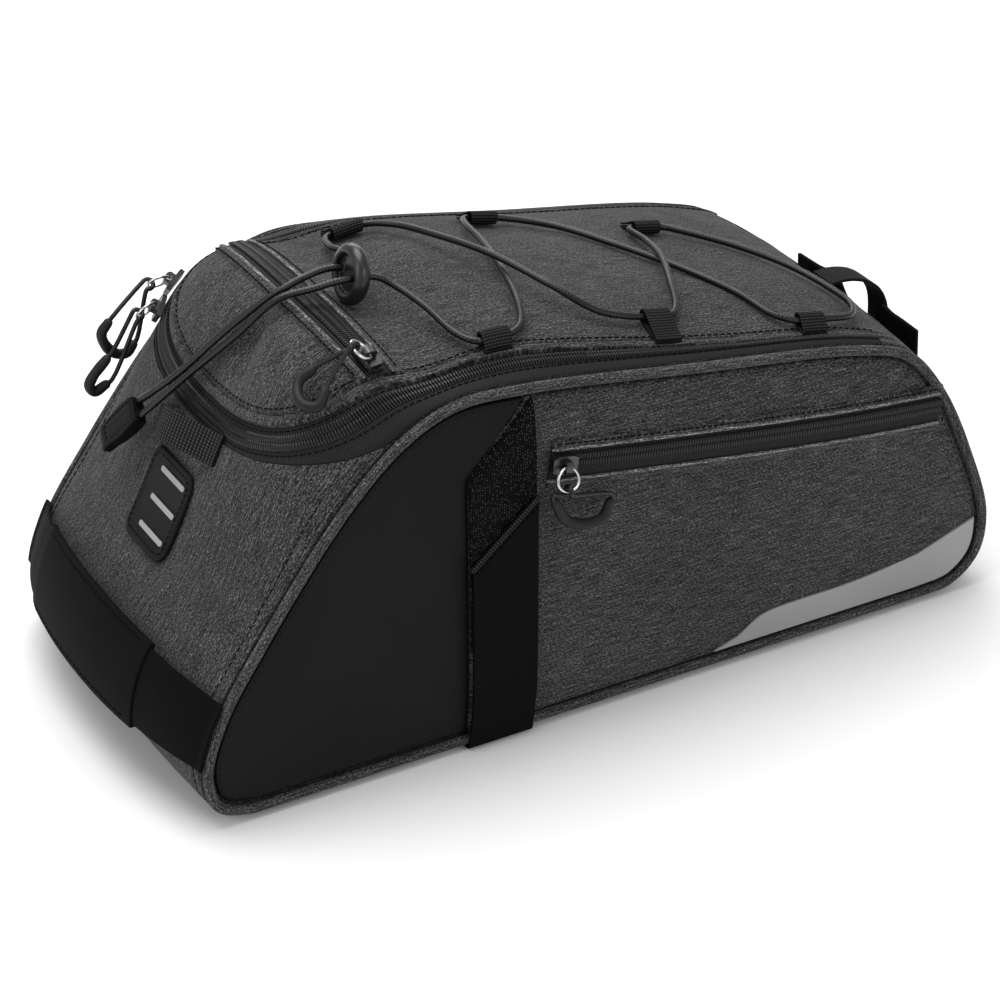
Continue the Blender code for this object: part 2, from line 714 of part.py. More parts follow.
def top_run_at(x):
    """The run on the outline's upper side at a given x."""
    runs = np.linspace(ZIP_TAIL * GIRTH * 0.8, 0.62 * GIRTH, 800)
    return np.interp(x, outline(runs)[:, 0], runs)


def base_run_at(x):
    runs = np.linspace(GIRTH, GIRTH * 0.68, 400)
    return np.interp(x, outline(runs)[:, 0], runs)


def side_panels():
    """On each side, the black PU panel at the tail and the cloth panel behind it."""
    inset = PANEL_INSET
    notch, tip = pu_edge()
    low_x, high_x = strap_edges()
    for label, sign in (("near", -1), ("far", 1)):
        tail_runs = spaced_runs(0.0, top_run_at(tip[0]), 20)
        shape = [outline(run, inset) for run in tail_runs]
        shape += between(outline(tail_runs[-1], inset), notch, 3)[1:]
        bottom = outline(base_run_at(low_x), inset)
        shape += between(notch, bottom, 5)
        shape += between(bottom, outline(0.0, inset), 5)
        side_skin(f"pu_panel_{label}", shape, sign, None, 0, black_pu())

        first, last = top_run_at(tip[0] + 6 * GAP), base_run_at(low_x + 3 * GAP)
        runs = spaced_runs(first, last, 24)
        shape = [outline(run, inset) for run in runs]
        foot, knee = np.array([low_x + 3 * GAP, shape[-1][1]]), np.array([low_x + 3 * GAP, notch[1] - GAP])
        shape = shape[:-1] + between(foot, knee, 4) + between(knee, shape[0], 4)
        side_skin(f"side_cloth_{label}", shape, sign, None, 0, heather())


def strap_face(top, bottom, height, slant, sign):
    """Outer and inner grids of a strap on one side, from its slanted top down."""
    low_x, high_x = strap_edges()
    grids = []
    for rise in (height + WEBBING, height):
        rows = []
        for share in np.linspace(0, 1, 10):
            row = []
            for x, lift in ((low_x, 0.0), (high_x, slant)):
                row.append(side(x, (top + lift) * (1 - share) + bottom * share, rise, sign))
            rows.append(row)
        grids.append(np.array(rows))
    return grids


def hook_straps():
    """The hook webbing that comes out from under the PU panel's slanted edge."""
    slant = (PU_NOTCH[1] - PU_NOTCH[0]) * SIDE_HEIGHT
    top = side_z(PU_NOTCH[0]) - 4 * GAP
    for label, sign in (("near", -1), ("far", 1)):
        grids = strap_face(top, side_z(0.30), HOOK_STAND, slant * 0.985, sign)
        sheet(f"hook_strap_{label}", *grids, black_webbing())


def strap_path(x, top):
    """y and z of the rack strap's inner face at one edge, from its top on the far side to the middle."""
    height = HOOK_STAND + WEBBING + 2 * GAP
    levels = side_z(np.linspace(top, 0.12, 8))
    path = [(side(x, level, height, 1)[1], level) for level in levels]
    foot = HALF * narrowing(x) + PIPING_OUT + PIPING_RADIUS + 2 * GAP
    turn = STRAP_TURN
    path.append((foot + GAP, WEBBING + 2.6 * turn))
    for angle in np.linspace(0, pi / 2, 4):
        path.append((foot - turn + turn * cos(angle), WEBBING + turn - turn * sin(angle)))
    path += [(share * (foot - turn), WEBBING) for share in (0.6, 0.25)]
    return path


def rack_strap():
    """The long strap that lies over the hook webbing and passes under the bag."""
    low_x, high_x = strap_edges()
    edges = []
    for x, top in ((low_x, STRAP_TOP), (high_x, STRAP_TOP + STRAP_SLANT)):
        half = strap_path(x, top)
        whole = np.array([(-y, z) for y, z in half] + half[::-1])
        along = np.gradient(whole, axis=0)
        along /= np.linalg.norm(along, axis=1)[:, None]
        out = np.stack([along[:, 1], -along[:, 0]], -1)
        faces = [whole + out * rise for rise in (WEBBING, 0.0)]
        edges.append([np.stack([np.full(len(face), x), face[:, 0], face[:, 1]], -1) for face in faces])
    grids = [np.stack([edges[0][k], edges[1][k]], 1) for k in (0, 1)]
    sheet("rack_strap", *grids, black_webbing())


def piping():
    """The covered cord sewn round each side panel."""
    runs = np.concatenate([spaced_runs(0, GIRTH / 2, 20), spaced_runs(GIRTH / 2, GIRTH, 23)[1:-1]])
    for label, sign in (("near", -1), ("far", 1)):
        path = [
            (x, sign * (HALF * narrowing(x) + PIPING_OUT), z) for x, z in outline(runs, PIPING_INSET)
        ]
        stations = tube_stations(path, closed=True)
        sweep(f"piping_{label}", stations, round_section(PIPING_RADIUS, 5), heather(), closed=True)


def ribbon_over(name, run, places, width, thickness, finish):
    """A ribbon lying across the wrap: (y, height) of its under side, its width along the run."""
    grids = []
    places = np.asarray(places, float)
    along = np.gradient(places, axis=0)
    along /= np.linalg.norm(along, axis=1)[:, None]
    normal = np.stack([-along[:, 1], along[:, 0]], -1)
    if normal[:, 1].sum() < 0:
        normal = -normal
    for rise in (thickness, 0.0):
        rows = places + normal * rise
        grids.append(np.array([
            [wrap_free(run + width * edge, y, height) for edge in (-0.5, -0.17, 0.17, 0.5)] for y, height in rows
        ]))
    return sheet(name, *grids, finish)


def wrap_free(run, y, height):
    """A wrap point whose height may pass the edge of the bag without following it."""
    base = wrap(run, np.clip(y, -HALF, HALF), 0)
    normal = outline_normal(run)
    return base + np.array([normal[0] * height, 0, normal[1] * height]) + np.array([0, y - base[1], 0])


def tail_handle():
    """The PU carry strap across the tail, on webbing ends sewn into the piping seams."""
    run = HANDLE_RUN
    ys = np.linspace(-HANDLE_HALF, HANDLE_HALF, 11)
    low, high = HANDLE_STAND
    face = wrap(run, 0)
    span = HANDLE_HALF + GAP
    ends = wrap(run, span)
    sag = np.hypot(face[0] - ends[0], face[2] - ends[2])
    places = []
    for y in ys:
        share = 1 - (y / HANDLE_HALF) ** 2
        here = wrap(run, y + HANDLE_PLACE)
        hollow = sag * share - np.hypot(here[0] - ends[0], here[2] - ends[2])
        places.append((y + HANDLE_PLACE, low + (high - low) * share + max(hollow, 0)))
    ribbon_over("tail_handle", run, places, HANDLE_HEIGHT, HANDLE_THICK, black_pu())
    rise = (HANDLE_THICK - WEBBING) / 2
    for label, sign in (("near", -1), ("far", 1)):
        outer = HALF + PIPING_OUT + 0.001
        ys = np.linspace(HANDLE_HALF + sign * HANDLE_PLACE + GAP, HALF - 0.0008, 6)
        share = (ys - ys[0]) / (ys[-1] - ys[0])
        heights = (low + rise) * (1 - share**1.4) + 3 * GAP * share**1.4
        places = [(sign * y, height) for y, height in zip(ys, heights)]
        places.append((sign * outer, 2 * GAP))
        ribbon_over(f"handle_webbing_{label}", run, places, HANDLE_HEIGHT * 0.9, WEBBING, black_webbing())


def wrap_plate(name, run, y, along, across, low, thickness, finish, bend=0.35, steps=4):
    """A plate with rounded corners lying on the wrap."""
    radius = min(along, across) * bend
    shape = []
    for quarter in range(4):
        centre_u = (along / 2 - radius) * (1 if quarter in (0, 3) else -1)
        centre_v = (across / 2 - radius) * (1 if quarter in (0, 1) else -1)
        for k in range(steps // 2 + 1):
            angle = quarter * pi / 2 + (pi / 2) * k / (steps // 2)
            shape.append((centre_u + radius * cos(angle), centre_v + radius * sin(angle)))
    stacks = []
    for height in (low + thickness, low):
        stack = [
            [wrap(run + u * share, y + v * share, height) for u, v in shape] for share in (1.0, 0.5)
        ]
        stack.append(wrap(run, y, height))
        stacks.append(stack)
    return disc(name, stacks, finish)


def tail_patch():
    """The black patch on the tail with its three light bars."""
    run = TAIL_PATCH_RUN * GIRTH
    wrap_plate("tail_patch", run, 0, *TAIL_PATCH_SIZE, TAIL_PATCH_STAND, SKIN, black_pu(), bend=0.16)
    long, wide, thick = BAR_SIZE
    for index, share in enumerate(BAR_RUNS):
        ys = np.linspace(-long / 2, long / 2, 4) + BAR_PLACE
        low = TAIL_PATCH_STAND + SKIN + GAP
        grids = [
            np.array([[wrap(share * GIRTH + edge, y, height) for edge in (-wide / 2, wide / 2)] for y in ys])
            for height in (low + thick, low)
        ]
        sheet(f"reflective_bar_{index + 1}", *grids, reflective())


def light_loop():
    """The bowed webbing loop under the zip that a tail light clips to, with its small tongue."""
    run = LIGHT_LOOP_RUN * GIRTH
    ys = np.linspace(-LIGHT_LOOP_HALF, LIGHT_LOOP_HALF, 13)
    stand = GAP + LIGHT_LOOP_STAND * np.cos(ys / LIGHT_LOOP_HALF * pi / 2) ** 1.6
    grids = []
    for rise in (WEBBING, 0.0):
        rows = []
        for y, height in zip(ys, stand):
            middle = run + LIGHT_LOOP_TURN * y
            rows.append([wrap(middle + edge, y, height + rise) for edge in (-LOOP_WIDTH / 2, LOOP_WIDTH / 2)])
        grids.append(np.array(rows))
    sheet("light_loop", *grids, black_webbing())
    wrap_plate("light_loop_tongue", run - 0.001, 0.0150, 0.0125, 0.0080, GAP, 0.0024, heather(), bend=0.48)


def mm(values):
    return np.array(values, float) / 1000


def lacing_loops():
    """The six small webbing loops at the lid's edge that the cord runs through."""
    for side_name, places in (("near", LOOPS_NEAR), ("far", LOOPS_FAR)):
        for index, (run, y) in enumerate(mm(places)):
            sign = np.sign(y)
            fold = LOOP_FOLD
            edge = min(lid_half(run) - 2 * GAP, abs(y) + 0.034)
            arc = [
                (abs(y) - fold * sin(angle), 2 * GAP + fold - fold * cos(angle)) for angle in np.linspace(0, pi, 7)
            ]
            top = 2 * GAP + 2 * fold
            lower = [(edge, 2 * GAP), ((edge + abs(y)) / 2, 2 * GAP)]
            upper = [(abs(y) + LOOP_SKIN * 2, top - 0.0001), (edge, 3 * GAP + 2 * LOOP_SKIN)]
            path = lower + arc + upper
            along = np.gradient(np.array(path), axis=0)
            along /= np.linalg.norm(along, axis=1)[:, None]
            grids = []
            for inset in (0.0, LOOP_SKIN):
                line = [(y_ + n[1] * inset, h - n[0] * inset) for (y_, h), n in zip(path, along)]
                grids.append(np.array([
                    [wrap(run + end, sign * y_, h) for end in (-LOOP_WIDTH / 2, LOOP_WIDTH / 2)]
                    for y_, h in line
                ]))
            sheet(f"lacing_loop_{side_name}_{index + 1}", *grids, black_webbing())


def cord_object(name, path, diameter, finish):
    """A cord as a curve with a round bevel and closed ends."""
    curve = bpy.data.curves.new(name, "CURVE")
    curve.dimensions = "3D"
    curve.bevel_depth = diameter / 2
    curve.bevel_resolution = 2
    curve.use_fill_caps = True
    line = curve.splines.new("POLY")
    line.points.add(len(path) - 1)
    for point, place in zip(line.points, path):
        point.co = (*map(float, place), 1)
    curve.materials.append(finish)
    made = bpy.data.objects.new(name, curve)
    bpy.context.scene.collection.objects.link(made)
    return made


def bungee_path():
    """The laced cord's points: a smooth curve through its route, finer where it is long."""
    route = np.array([wrap(*place) for place in mm(BUNGEE_ROUTE)])
    fine = smooth_curve(route, 12)
    path = [fine[0]]
    for index in range(len(route) - 1):
        span = fine[index * 12:index * 12 + 13]
        length = np.linalg.norm(np.diff(span, axis=0), axis=1).sum()
        pieces = max(1, round(length / 0.0175))
        path += [span[round(12 * (k + 1) / pieces)] for k in range(pieces)]
    return np.array(path)


def turned(name, profile, centre, axis, finish, sides=28):
    """A round solid from a profile of distance along the axis and radius."""
    axis = axis / np.linalg.norm(axis)
    across = np.cross(axis, (0, 0, 1.0))
    across /= np.linalg.norm(across)
    up = np.cross(across, axis)
    vertices, faces = [], []
    rings = []
    for along, radius in profile:
        rings.append(len(vertices))
        if radius == 0:
            vertices.append(centre + axis * along)
            continue
        for k in range(sides):
            angle = tau * k / sides
            vertices.append(centre + axis * along + (across * cos(angle) + up * sin(angle)) * radius)
    for index in range(len(profile) - 1):
        here, there = rings[index], rings[index + 1]
        for k in range(sides):
            nxt = (k + 1) % sides
            if profile[index][1] == 0:
                faces.append((here, there + nxt, there + k))
            elif profile[index + 1][1] == 0:
                faces.append((here + k, here + nxt, there))
            else:
                faces.append((here + k, here + nxt, there + nxt, there + k))
    return add_solid(name, vertices, faces, finish)


def hidden_tool(made):
    made.hide_render = True
    made.display_type = "WIRE"
    return made


def boolean(target, tool, operation):
    cut = target.modifiers.new(operation.lower(), "BOOLEAN")
    cut.operation = operation
    cut.object = tool
    cut.solver = "EXACT"


def cord_lock():
    """The round spring lock, standing on the lid with its hollow face to the tail."""
    run, y, height = mm(LOCK_PLACE)
    centre = wrap(run, y, height)
    along = wrap_axes(run, y)[0]
    radius, half = LOCK_RADIUS, LOCK_THICK / 2
    profile = [
        (half, 0), (half, radius * 0.62), (half * 0.86, radius * 0.82), (half * 0.5, radius * 0.955),
        (0, radius), (-half * 0.5, radius * 0.97), (-half * 0.86, radius * 0.88), (-half, radius * 0.78),
        (-half * 0.9, radius * 0.66), (-half * 0.35, radius * 0.58), (-half * 0.3, 0),
    ]
    lock = turned("cord_lock", profile, centre, along, gloss_plastic(), sides=16)
    for index, side_y in enumerate((y + 0.006, y - 0.006)):
        middle = wrap(run, side_y, height)
        hole = [(-LOCK_THICK, 0), (-LOCK_THICK, LOCK_HOLE), (LOCK_THICK, LOCK_HOLE), (LOCK_THICK, 0)]
        tool = hidden_tool(turned(f"cord_hole_{index + 1}", hole, middle, along, rubber(), sides=8))
        boolean(lock, tool, "DIFFERENCE")


def pull_end():
    """The folded tab that holds both ends of the cord."""
    entry, tip = (wrap(*place) for place in mm(PULL_END))
    along = (tip - entry) / np.linalg.norm(tip - entry)
    across = np.cross(along, wrap_axes(*mm(PULL_END[0][:2]))[2])
    across /= np.linalg.norm(across)
    out = np.cross(across, along)
    out *= np.sign(out[2])
    grids = []
    half = PULL_END_WIDTH / 2
    for side_ in (0.5, -0.5):
        rows = []
        for share in (0, 0.06, 0.35, 0.7, 0.93, 1.0):
            thick = PULL_END_THICK[0] * (1 - share) + PULL_END_THICK[1] * share
            width = half * (0.86 + 0.14 * sin(pi * min(share * 1.3, 1)))
            row = []
            for edge, drop in ((-1, 0.84), (-0.86, 1.0), (0.86, 1.0), (1, 0.84)):
                here = entry + (tip - entry) * share + across * width * edge
                row.append(here + out * thick * side_ * (drop if share not in (0, 1.0) else drop * 0.86))
            rows.append(row)
        grids.append(np.array(rows))
    sheet("bungee_pull_end", *grids, black_pu())


def seat_strap():
    """The flat strap for the seatpost, and the loop on the saddle end that it is threaded through."""
    base = outline(outline_run("saddle_top"))
    base = np.array([base[0] + SEAT_STRAP_SHIFT, 0, base[1]])
    table = smooth_curve([(y, 0, 0, *rest) for y, *rest in SEAT_STRAP], 2)[:, (0, 3, 4, 5, 6)]
    upper = np.stack([table[:, 1], table[:, 0], table[:, 2]], -1) + base
    lower = np.stack([table[:, 3], table[:, 0], table[:, 4]], -1) + base
    centre = (upper + lower) / 2
    along = np.gradient(centre, axis=0)
    normal = np.cross(along, upper - lower)
    normal /= np.linalg.norm(normal, axis=1)[:, None]
    normal *= np.sign(normal[:, :1])
    grids = [np.stack([upper + normal * t, lower + normal * t], 1) for t in (SEAT_STRAP_THICK, 0.0)]
    sheet("seatpost_strap", *grids, black_webbing())

    path = smooth_curve([(x, z, 0) for x, z in SADDLE_LOOP], 2)[:, :2]
    turn = np.gradient(path, axis=0)
    turn /= np.linalg.norm(turn, axis=1)[:, None]
    out = np.stack([-turn[:, 1], turn[:, 0]], -1)
    grids = []
    for rise in (WEBBING, 0.0):
        line = path + out * rise
        rows = [
            [(x, SADDLE_LOOP_PLACE + end, z) + base for end in (-SADDLE_LOOP_WIDTH / 2, SADDLE_LOOP_WIDTH / 2)]
            for x, z in line
        ]
        grids.append(np.array(rows))
    sheet("saddle_loop", *grids, black_webbing())


def outline_run(name):
    """The run at a named row of the outline."""
    index = [row[0] for row in OUTLINE].index(name)
    return RUNS[index * 40]


def reflective_patch():
    """The bare light strip low on the near side, from its stepped end to the saddle end."""
    top = [np.array([side_x(x), side_z(z)]) for x, z in PATCH_EDGE]
    end, start = top[-1], top[0]
    inset = PANEL_INSET + 4 * GAP
    runs = np.linspace(0.5 * GIRTH, GIRTH, 3000)
    rim = outline(runs, inset)
    first = runs[np.argmin(np.linalg.norm(rim - end, axis=1))]
    last = runs[np.argmin(np.linalg.norm(rim - start, axis=1))]
    shape = top[1:-1] + [outline(run, inset) for run in spaced_runs(first, last, 16)]
    side_skin("reflective_patch_near", shape, -1, GAP, GAP + PATCH_SKIN, reflective(), shares=(1.0, 0.6))


def prism(name, outline_, frame, low, high, finish, hole=None):
    """A flat outline in a frame's first two axes, raised between two heights of its third."""
    origin, first, second, third = frame
    loops = [outline_] + ([hole] if hole else [])
    vertices, faces = [], []
    for loop in loops:
        for level in (low, high):
            vertices += [origin + first * u + second * v + third * level for u, v in loop]
    size = len(outline_)
    for k in range(size):
        nxt = (k + 1) % size
        faces.append((k, nxt, size + nxt, size + k))
        if hole:
            base = 2 * size
            faces.append((base + nxt, base + k, base + size + k, base + size + nxt))
            faces.append((k, base + k, base + nxt, nxt))
            faces.append((size + nxt, base + size + nxt, base + size + k, size + k))
    if not hole:
        faces += [tuple(range(size)), tuple(range(size, 2 * size))]
    return add_solid(name, vertices, faces, finish)


def zip_pull(name, seat, along, out, bail_way, sleeve):
    """A slider with its bail, its cord and its C-shaped sleeve; the way is the bail's direction."""
    unit = [vector / np.linalg.norm(vector) for vector in (along, out)]
    along, out = unit[0], unit[1] - unit[0] * unit[0].dot(unit[1])
    out /= np.linalg.norm(out)
    across = np.cross(out, along)
    length, width, thick = SLIDER_SIZE
    plan = [
        (-0.5, -0.34), (-0.28, -0.5), (0.30, -0.5), (0.5, -0.38), (0.5, 0.38), (0.30, 0.5), (-0.28, 0.5), (-0.5, 0.34)
    ]
    body_plan = [(u * length, v * width) for u, v in plan]
    body = prism(f"{name}_slider", body_plan, (seat, along, across, out), GAP, GAP + thick, nickel())

    flat = bail_way - out * out.dot(bail_way)
    flat /= np.linalg.norm(flat)
    tunnel = np.cross(flat, out)
    bridge_wide, bridge_high, opening = BRIDGE
    hole_mid = bridge_high * 0.42
    outer = [(-2.5, -0.9), (2.5, -0.9), (2.5, 0.55), (1.7, 1.0), (0.9, 1.15), (-0.9, 1.15), (-1.7, 1.0), (-2.5, 0.55)]
    inner = [(-1.0, -0.7), (1.0, -0.7), (1.35, -0.35), (1.35, 0.35), (0.9, 0.72), (-0.9, 0.72), (-1.35, 0.35), (-1.35, -0.35)]
    outer = [(u / 1000, hole_mid + v * bridge_high / 2) for u, v in outer]
    inner = [(u / 1000, hole_mid + v * opening / 2) for u, v in inner]
    foot = seat + out * (GAP + thick)
    frame = (foot, flat, out, tunnel)
    half = bridge_wide / 2
    bridge = hidden_tool(prism(f"{name}_bridge", outer, frame, -half, half, nickel(), hole=inner))
    boolean(body, bridge, "UNION")

    hook = foot + out * hole_mid
    bail_way = bail_way / np.linalg.norm(bail_way)
    centre = hook + bail_way * BAIL_RADIUS
    ring_normal = np.cross(bail_way, tunnel)
    ring_normal *= np.sign(ring_normal.dot(out))
    stations = []
    for angle in np.linspace(0, tau, 11, endpoint=False):
        radial = -bail_way * cos(angle) + tunnel * sin(angle)
        stations.append((centre + radial * BAIL_RADIUS, radial, ring_normal))
    sweep(f"{name}_bail", stations, round_section(BAIL_WIRE / 2, 5), nickel(), closed=True)

    path = smooth_curve(seat + mm(sleeve), 2)
    stations = tube_stations(path)
    sweep(f"{name}_sleeve", stations, round_section(SLEEVE_DIAMETER / 2, 7), rubber())
    ends = []
    for index, step in ((0, 1), (-1, -2)):
        away = path[index] - path[step]
        ends.append((path[index], away / np.linalg.norm(away)))
    reach = BAIL_WIRE / 2 + PULL_CORD_DIAMETER / 2 + 2 * GAP
    tip = hook + bail_way * BAIL_RADIUS * 2
    swing = ring_normal if (ends[0][0] - ends[1][0]).dot(ring_normal) >= 0 else -ring_normal
    bend = [
        tip + reach * (bail_way * cos(angle) + swing * sin(angle))
        for angle in np.linspace(pi / 3, 5 * pi / 3, 8)
    ]
    (first, first_way), (last, last_way) = ends
    lead = [first + first_way * reach_ for reach_ in (GAP, 0.003)]
    tail = [last + last_way * reach_ for reach_ in (0.003, GAP)]
    whole = lead + bend + tail
    sweep(f"{name}_cord", tube_stations(whole), round_section(PULL_CORD_DIAMETER / 2, 5), rubber())


def zip_pulls():
    """Two sliders on the main zip, one on the lid's pocket and one on the side pocket."""
    for index, (angle, sleeve) in enumerate(zip(MAIN_SLIDERS, MAIN_SLEEVES)):
        angle = radians(angle)
        seat = zip_point("corner", angle, 1, 0.5, COIL_HEIGHT)
        along = zip_point("corner", angle + 0.02, 1, 0.5, 0) - zip_point("corner", angle - 0.02, 1, 0.5, 0)
        side_way = zip_point("corner", angle, 1, 1, 0) - zip_point("corner", angle, 1, 0, 0)
        out = np.cross(along, side_way)
        out *= np.sign(out[2])
        out /= np.linalg.norm(out)
        way = -along / np.linalg.norm(along) * cos(radians(35)) + out * sin(radians(35))
        zip_pull(f"main_zip_{index + 1}", seat, along, out, way, sleeve)

    run, y = LID_POCKET_RUN * GIRTH, -(LID_POCKET_HALF - 0.0055)
    tailward, across, out = wrap_axes(run, y)
    seat = wrap(run, y, LID_POCKET_STAND + GAP + TAPE * 0.8 + COIL_HEIGHT * 0.7)
    way = out * sin(radians(28)) - tailward * cos(radians(28))
    zip_pull("lid_pocket", seat, across, out, way, LID_POCKET_SLEEVE)

    path = side_path(SIDE_ZIP, 60)
    place, ahead = path[1], path[3]
    height = 2 * GAP + TAPE * 0.8 + COIL_HEIGHT * 0.8
    drop = -SIDE_POCKET_OPEN * 0.1
    seat = side(place[0], place[1] - drop, height)
    along = side(ahead[0], ahead[1] - drop, height) - seat
    out = np.array([0, -1.0, 0])
    way = np.array([0.1, -0.30, -0.95])
    way -= along / np.linalg.norm(along) * way.dot(along) / np.linalg.norm(along)
    zip_pull("side_pocket", seat, along, out, way / np.linalg.norm(way), SIDE_POCKET_SLEEVE)


def clear_scene():
    for made in list(bpy.data.objects):
        bpy.data.objects.remove(made, do_unlink=True)


def stand_on_origin():
    """Move everything so that the origin is on the ground under the middle of the bag."""
    bpy.context.view_layer.update()
    graph = bpy.context.evaluated_depsgraph_get()
    corners = []
    for made in bpy.context.scene.objects:
        if made.hide_render or made.name == "bungee_cord":
            continue
        mesh = made.evaluated_get(graph).to_mesh()
        places = np.empty(len(mesh.vertices) * 3)
        mesh.vertices.foreach_get("co", places)
        corners.append(places.reshape(-1, 3))
        made.evaluated_get(graph).to_mesh_clear()
    corners = np.vstack(corners)
    low, high = corners.min(0), corners.max(0)
    for made in bpy.context.scene.objects:
        made.location = (-(low[0] + high[0]) / 2, -(low[1] + high[1]) / 2, -low[2])


def build():
    clear_scene()
    body_shell()
    lid()
    main_zip()
    lid_pocket()
    side_panels()
    side_pocket()
    reflective_patch()
    piping()
    hook_straps()
    rack_strap()
    tail_handle()
    tail_patch()
    light_loop()
    seat_strap()
    lacing_loops()
    cord_lock()
    pull_end()
    cord_object("bungee_cord", bungee_path(), BUNGEE_DIAMETER, rubber())
    zip_pulls()
    stand_on_origin()


build()
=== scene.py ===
"""Looks of the bicycle trunk bag: cloth, trim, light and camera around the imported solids.

Metres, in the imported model's frame. "run" is the distance along the side outline, from
the tail end of the base up the tail, over the top and down the saddle end, and "y" is
the place across the bag. The routes and tables repeat the solids' own values.
"""
from math import atan, cos, pi, radians, sin, tau
import bpy
import numpy as np
from mathutils import Matrix, Vector, noise


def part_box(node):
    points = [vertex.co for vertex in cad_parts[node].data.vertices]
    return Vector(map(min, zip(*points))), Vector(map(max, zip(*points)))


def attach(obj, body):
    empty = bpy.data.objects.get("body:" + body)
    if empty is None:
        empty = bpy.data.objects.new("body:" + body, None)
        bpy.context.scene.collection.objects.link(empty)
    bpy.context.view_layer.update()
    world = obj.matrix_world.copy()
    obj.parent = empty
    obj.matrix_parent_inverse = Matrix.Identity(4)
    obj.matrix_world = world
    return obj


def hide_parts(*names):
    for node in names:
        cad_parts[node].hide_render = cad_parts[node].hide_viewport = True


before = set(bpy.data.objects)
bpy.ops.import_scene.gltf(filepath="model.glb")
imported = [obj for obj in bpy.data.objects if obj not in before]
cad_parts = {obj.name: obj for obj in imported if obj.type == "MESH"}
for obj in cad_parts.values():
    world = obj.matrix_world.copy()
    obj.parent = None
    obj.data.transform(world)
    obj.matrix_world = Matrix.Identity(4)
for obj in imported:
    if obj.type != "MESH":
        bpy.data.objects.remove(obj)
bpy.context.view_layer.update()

# The solids' sizes
WIDTH, SIDE_LENGTH, SIDE_HEIGHT = 0.1710, 0.367, 0.1535
WALL, SIDE_PAD, GAP, HALF, TAPER = 0.0025, 0.0040, 0.0003, 0.0855, 0.140
PIPING_RADIUS, PIPING_OUT = 0.0021, 0.0023
PANEL_INSET = 2 * PIPING_RADIUS + 4 * GAP
PANEL_SKIN, WEBBING = 0.0012, 0.0014
BASE_LIFT = GAP + WEBBING
OUTLINE = (
    (0.055, 0.000, 0.000, 2.0), (0.012, 0.040, 0.012, 2.0), (0.000, 0.140, 0.035, 2.6), (0.018, 0.290, 0.055, 2.8),
    (0.071, 0.490, 0.045, 2.6), (0.166, 0.785, 0.118, 4.4), (0.233, 0.930, 0.172, 3.8), (0.300, 0.997, 0.062, 2.5),
    (0.375, 0.994, 0.080, 3.0), (0.594, 0.919, 0.066, 2.8), (0.802, 0.840, 0.045, 2.8), (0.872, 0.781, 0.020, 3.0),
    (0.9215, 0.646, 0.010, 2.4), (0.969, 0.420, 0.011, 2.4), (0.9985, 0.208, 0.012, 2.2), (0.991, 0.085, 0.010, 2.0),
    (0.956, 0.012, 0.000, 2.0), (0.900, 0.000, 0.000, 2.0),
)
SADDLE_TOP_ROW = 11
SIDE_CENTRE = (0.50, 0.43)
ZIP_TAIL, LID_TAIL, CORNER_END, LID_HINGE, CORNER_SQUARENESS = 0.1572, 0.1690, 0.2126, 0.4740, 2.5
LID_EDGE = ((0.169, 0.810), (0.213, 0.830), (0.264, 0.830), (0.384, 0.920), (0.474, 0.950))
CREASE = {"run": 0.1940, "y": -0.14, "length": 0.0110, "width": 0.0070, "slant": 35, "depth": 0.0045}
TAPE, COIL_WIDTH, COIL_HEIGHT = 0.0010, 0.0052, 0.0020
ZIP_SEAM = WALL + 4 * GAP
LID_POCKET_RUN, LID_POCKET_HALF, LID_POCKET_STAND, LID_POCKET_OPEN = 0.2180, 0.0670, 0.0008, 0.0086
SIDE_ZIP = ((0.405, 0.762), (0.55, 0.708), (0.75, 0.640), (0.895, 0.596))
POCKET_END = (0.918, 0.588)
SIDE_POCKET_OPEN, WELT, SKIN = 0.0130, 0.0032, 0.0012
PU_NOTCH, PU_HEART = (0.785, 0.945), (0.22, 0.66)
STRAP_WIDTH, STRAP_PLACE, STRAP_TOP, STRAP_SLANT, STRAP_TURN, HOOK_STAND = 0.0288, 0.347, 0.547, 0.156, 0.0020, 0.0012
PATCH_SKIN = 0.0007
PATCH_EDGE = ((0.622, 0.013), (0.654, 0.070), (0.677, 0.111), (0.695, 0.125), (0.802, 0.132), (0.898, 0.153), (0.975, 0.205))
HANDLE_RUN, HANDLE_HEIGHT, HANDLE_HALF, HANDLE_PLACE, HANDLE_THICK = 0.0515, 0.0310, 0.0520, 0.0050, 0.0030
HANDLE_STAND = (0.0045, 0.0070)
TAIL_PATCH_RUN, TAIL_PATCH_SIZE, TAIL_PATCH_STAND = 0.1175, (0.037, 0.037), 0.0008
BAR_RUNS, BAR_PLACE, BAR_SIZE = (0.131, 0.118, 0.105), -0.0035, (0.0215, 0.0022, 0.0005)
LIGHT_LOOP_RUN, LIGHT_LOOP_TURN, LIGHT_LOOP_HALF, LIGHT_LOOP_STAND = 0.1500, -0.16, 0.0260, 0.0105
LOOP_WIDTH, LOOP_SKIN = 0.0120, 0.0008
SEAT_STRAP_THICK, SEAT_STRAP_SHIFT = 0.0016, -0.0015
SEAT_STRAP = (
    (0.045, 0.0275, -0.0128, 0.0285, -0.0323), (0.030, 0.0275, -0.0123, 0.0285, -0.0323),
    (0.015, 0.0280, -0.0118, 0.0293, -0.0323), (0.009, 0.0285, -0.0183, 0.0303, -0.0343),
    (0.003, 0.0293, -0.0243, 0.0310, -0.0363), (-0.004, 0.0295, -0.0263, 0.0314, -0.0373),
    (-0.011, 0.0293, -0.0253, 0.0312, -0.0363), (-0.0155, 0.0290, -0.0133, 0.0300, -0.0333),
    (-0.026, 0.0285, -0.0118, 0.0290, -0.0323), (-0.045, 0.0275, -0.0113, 0.0285, -0.0323),
)
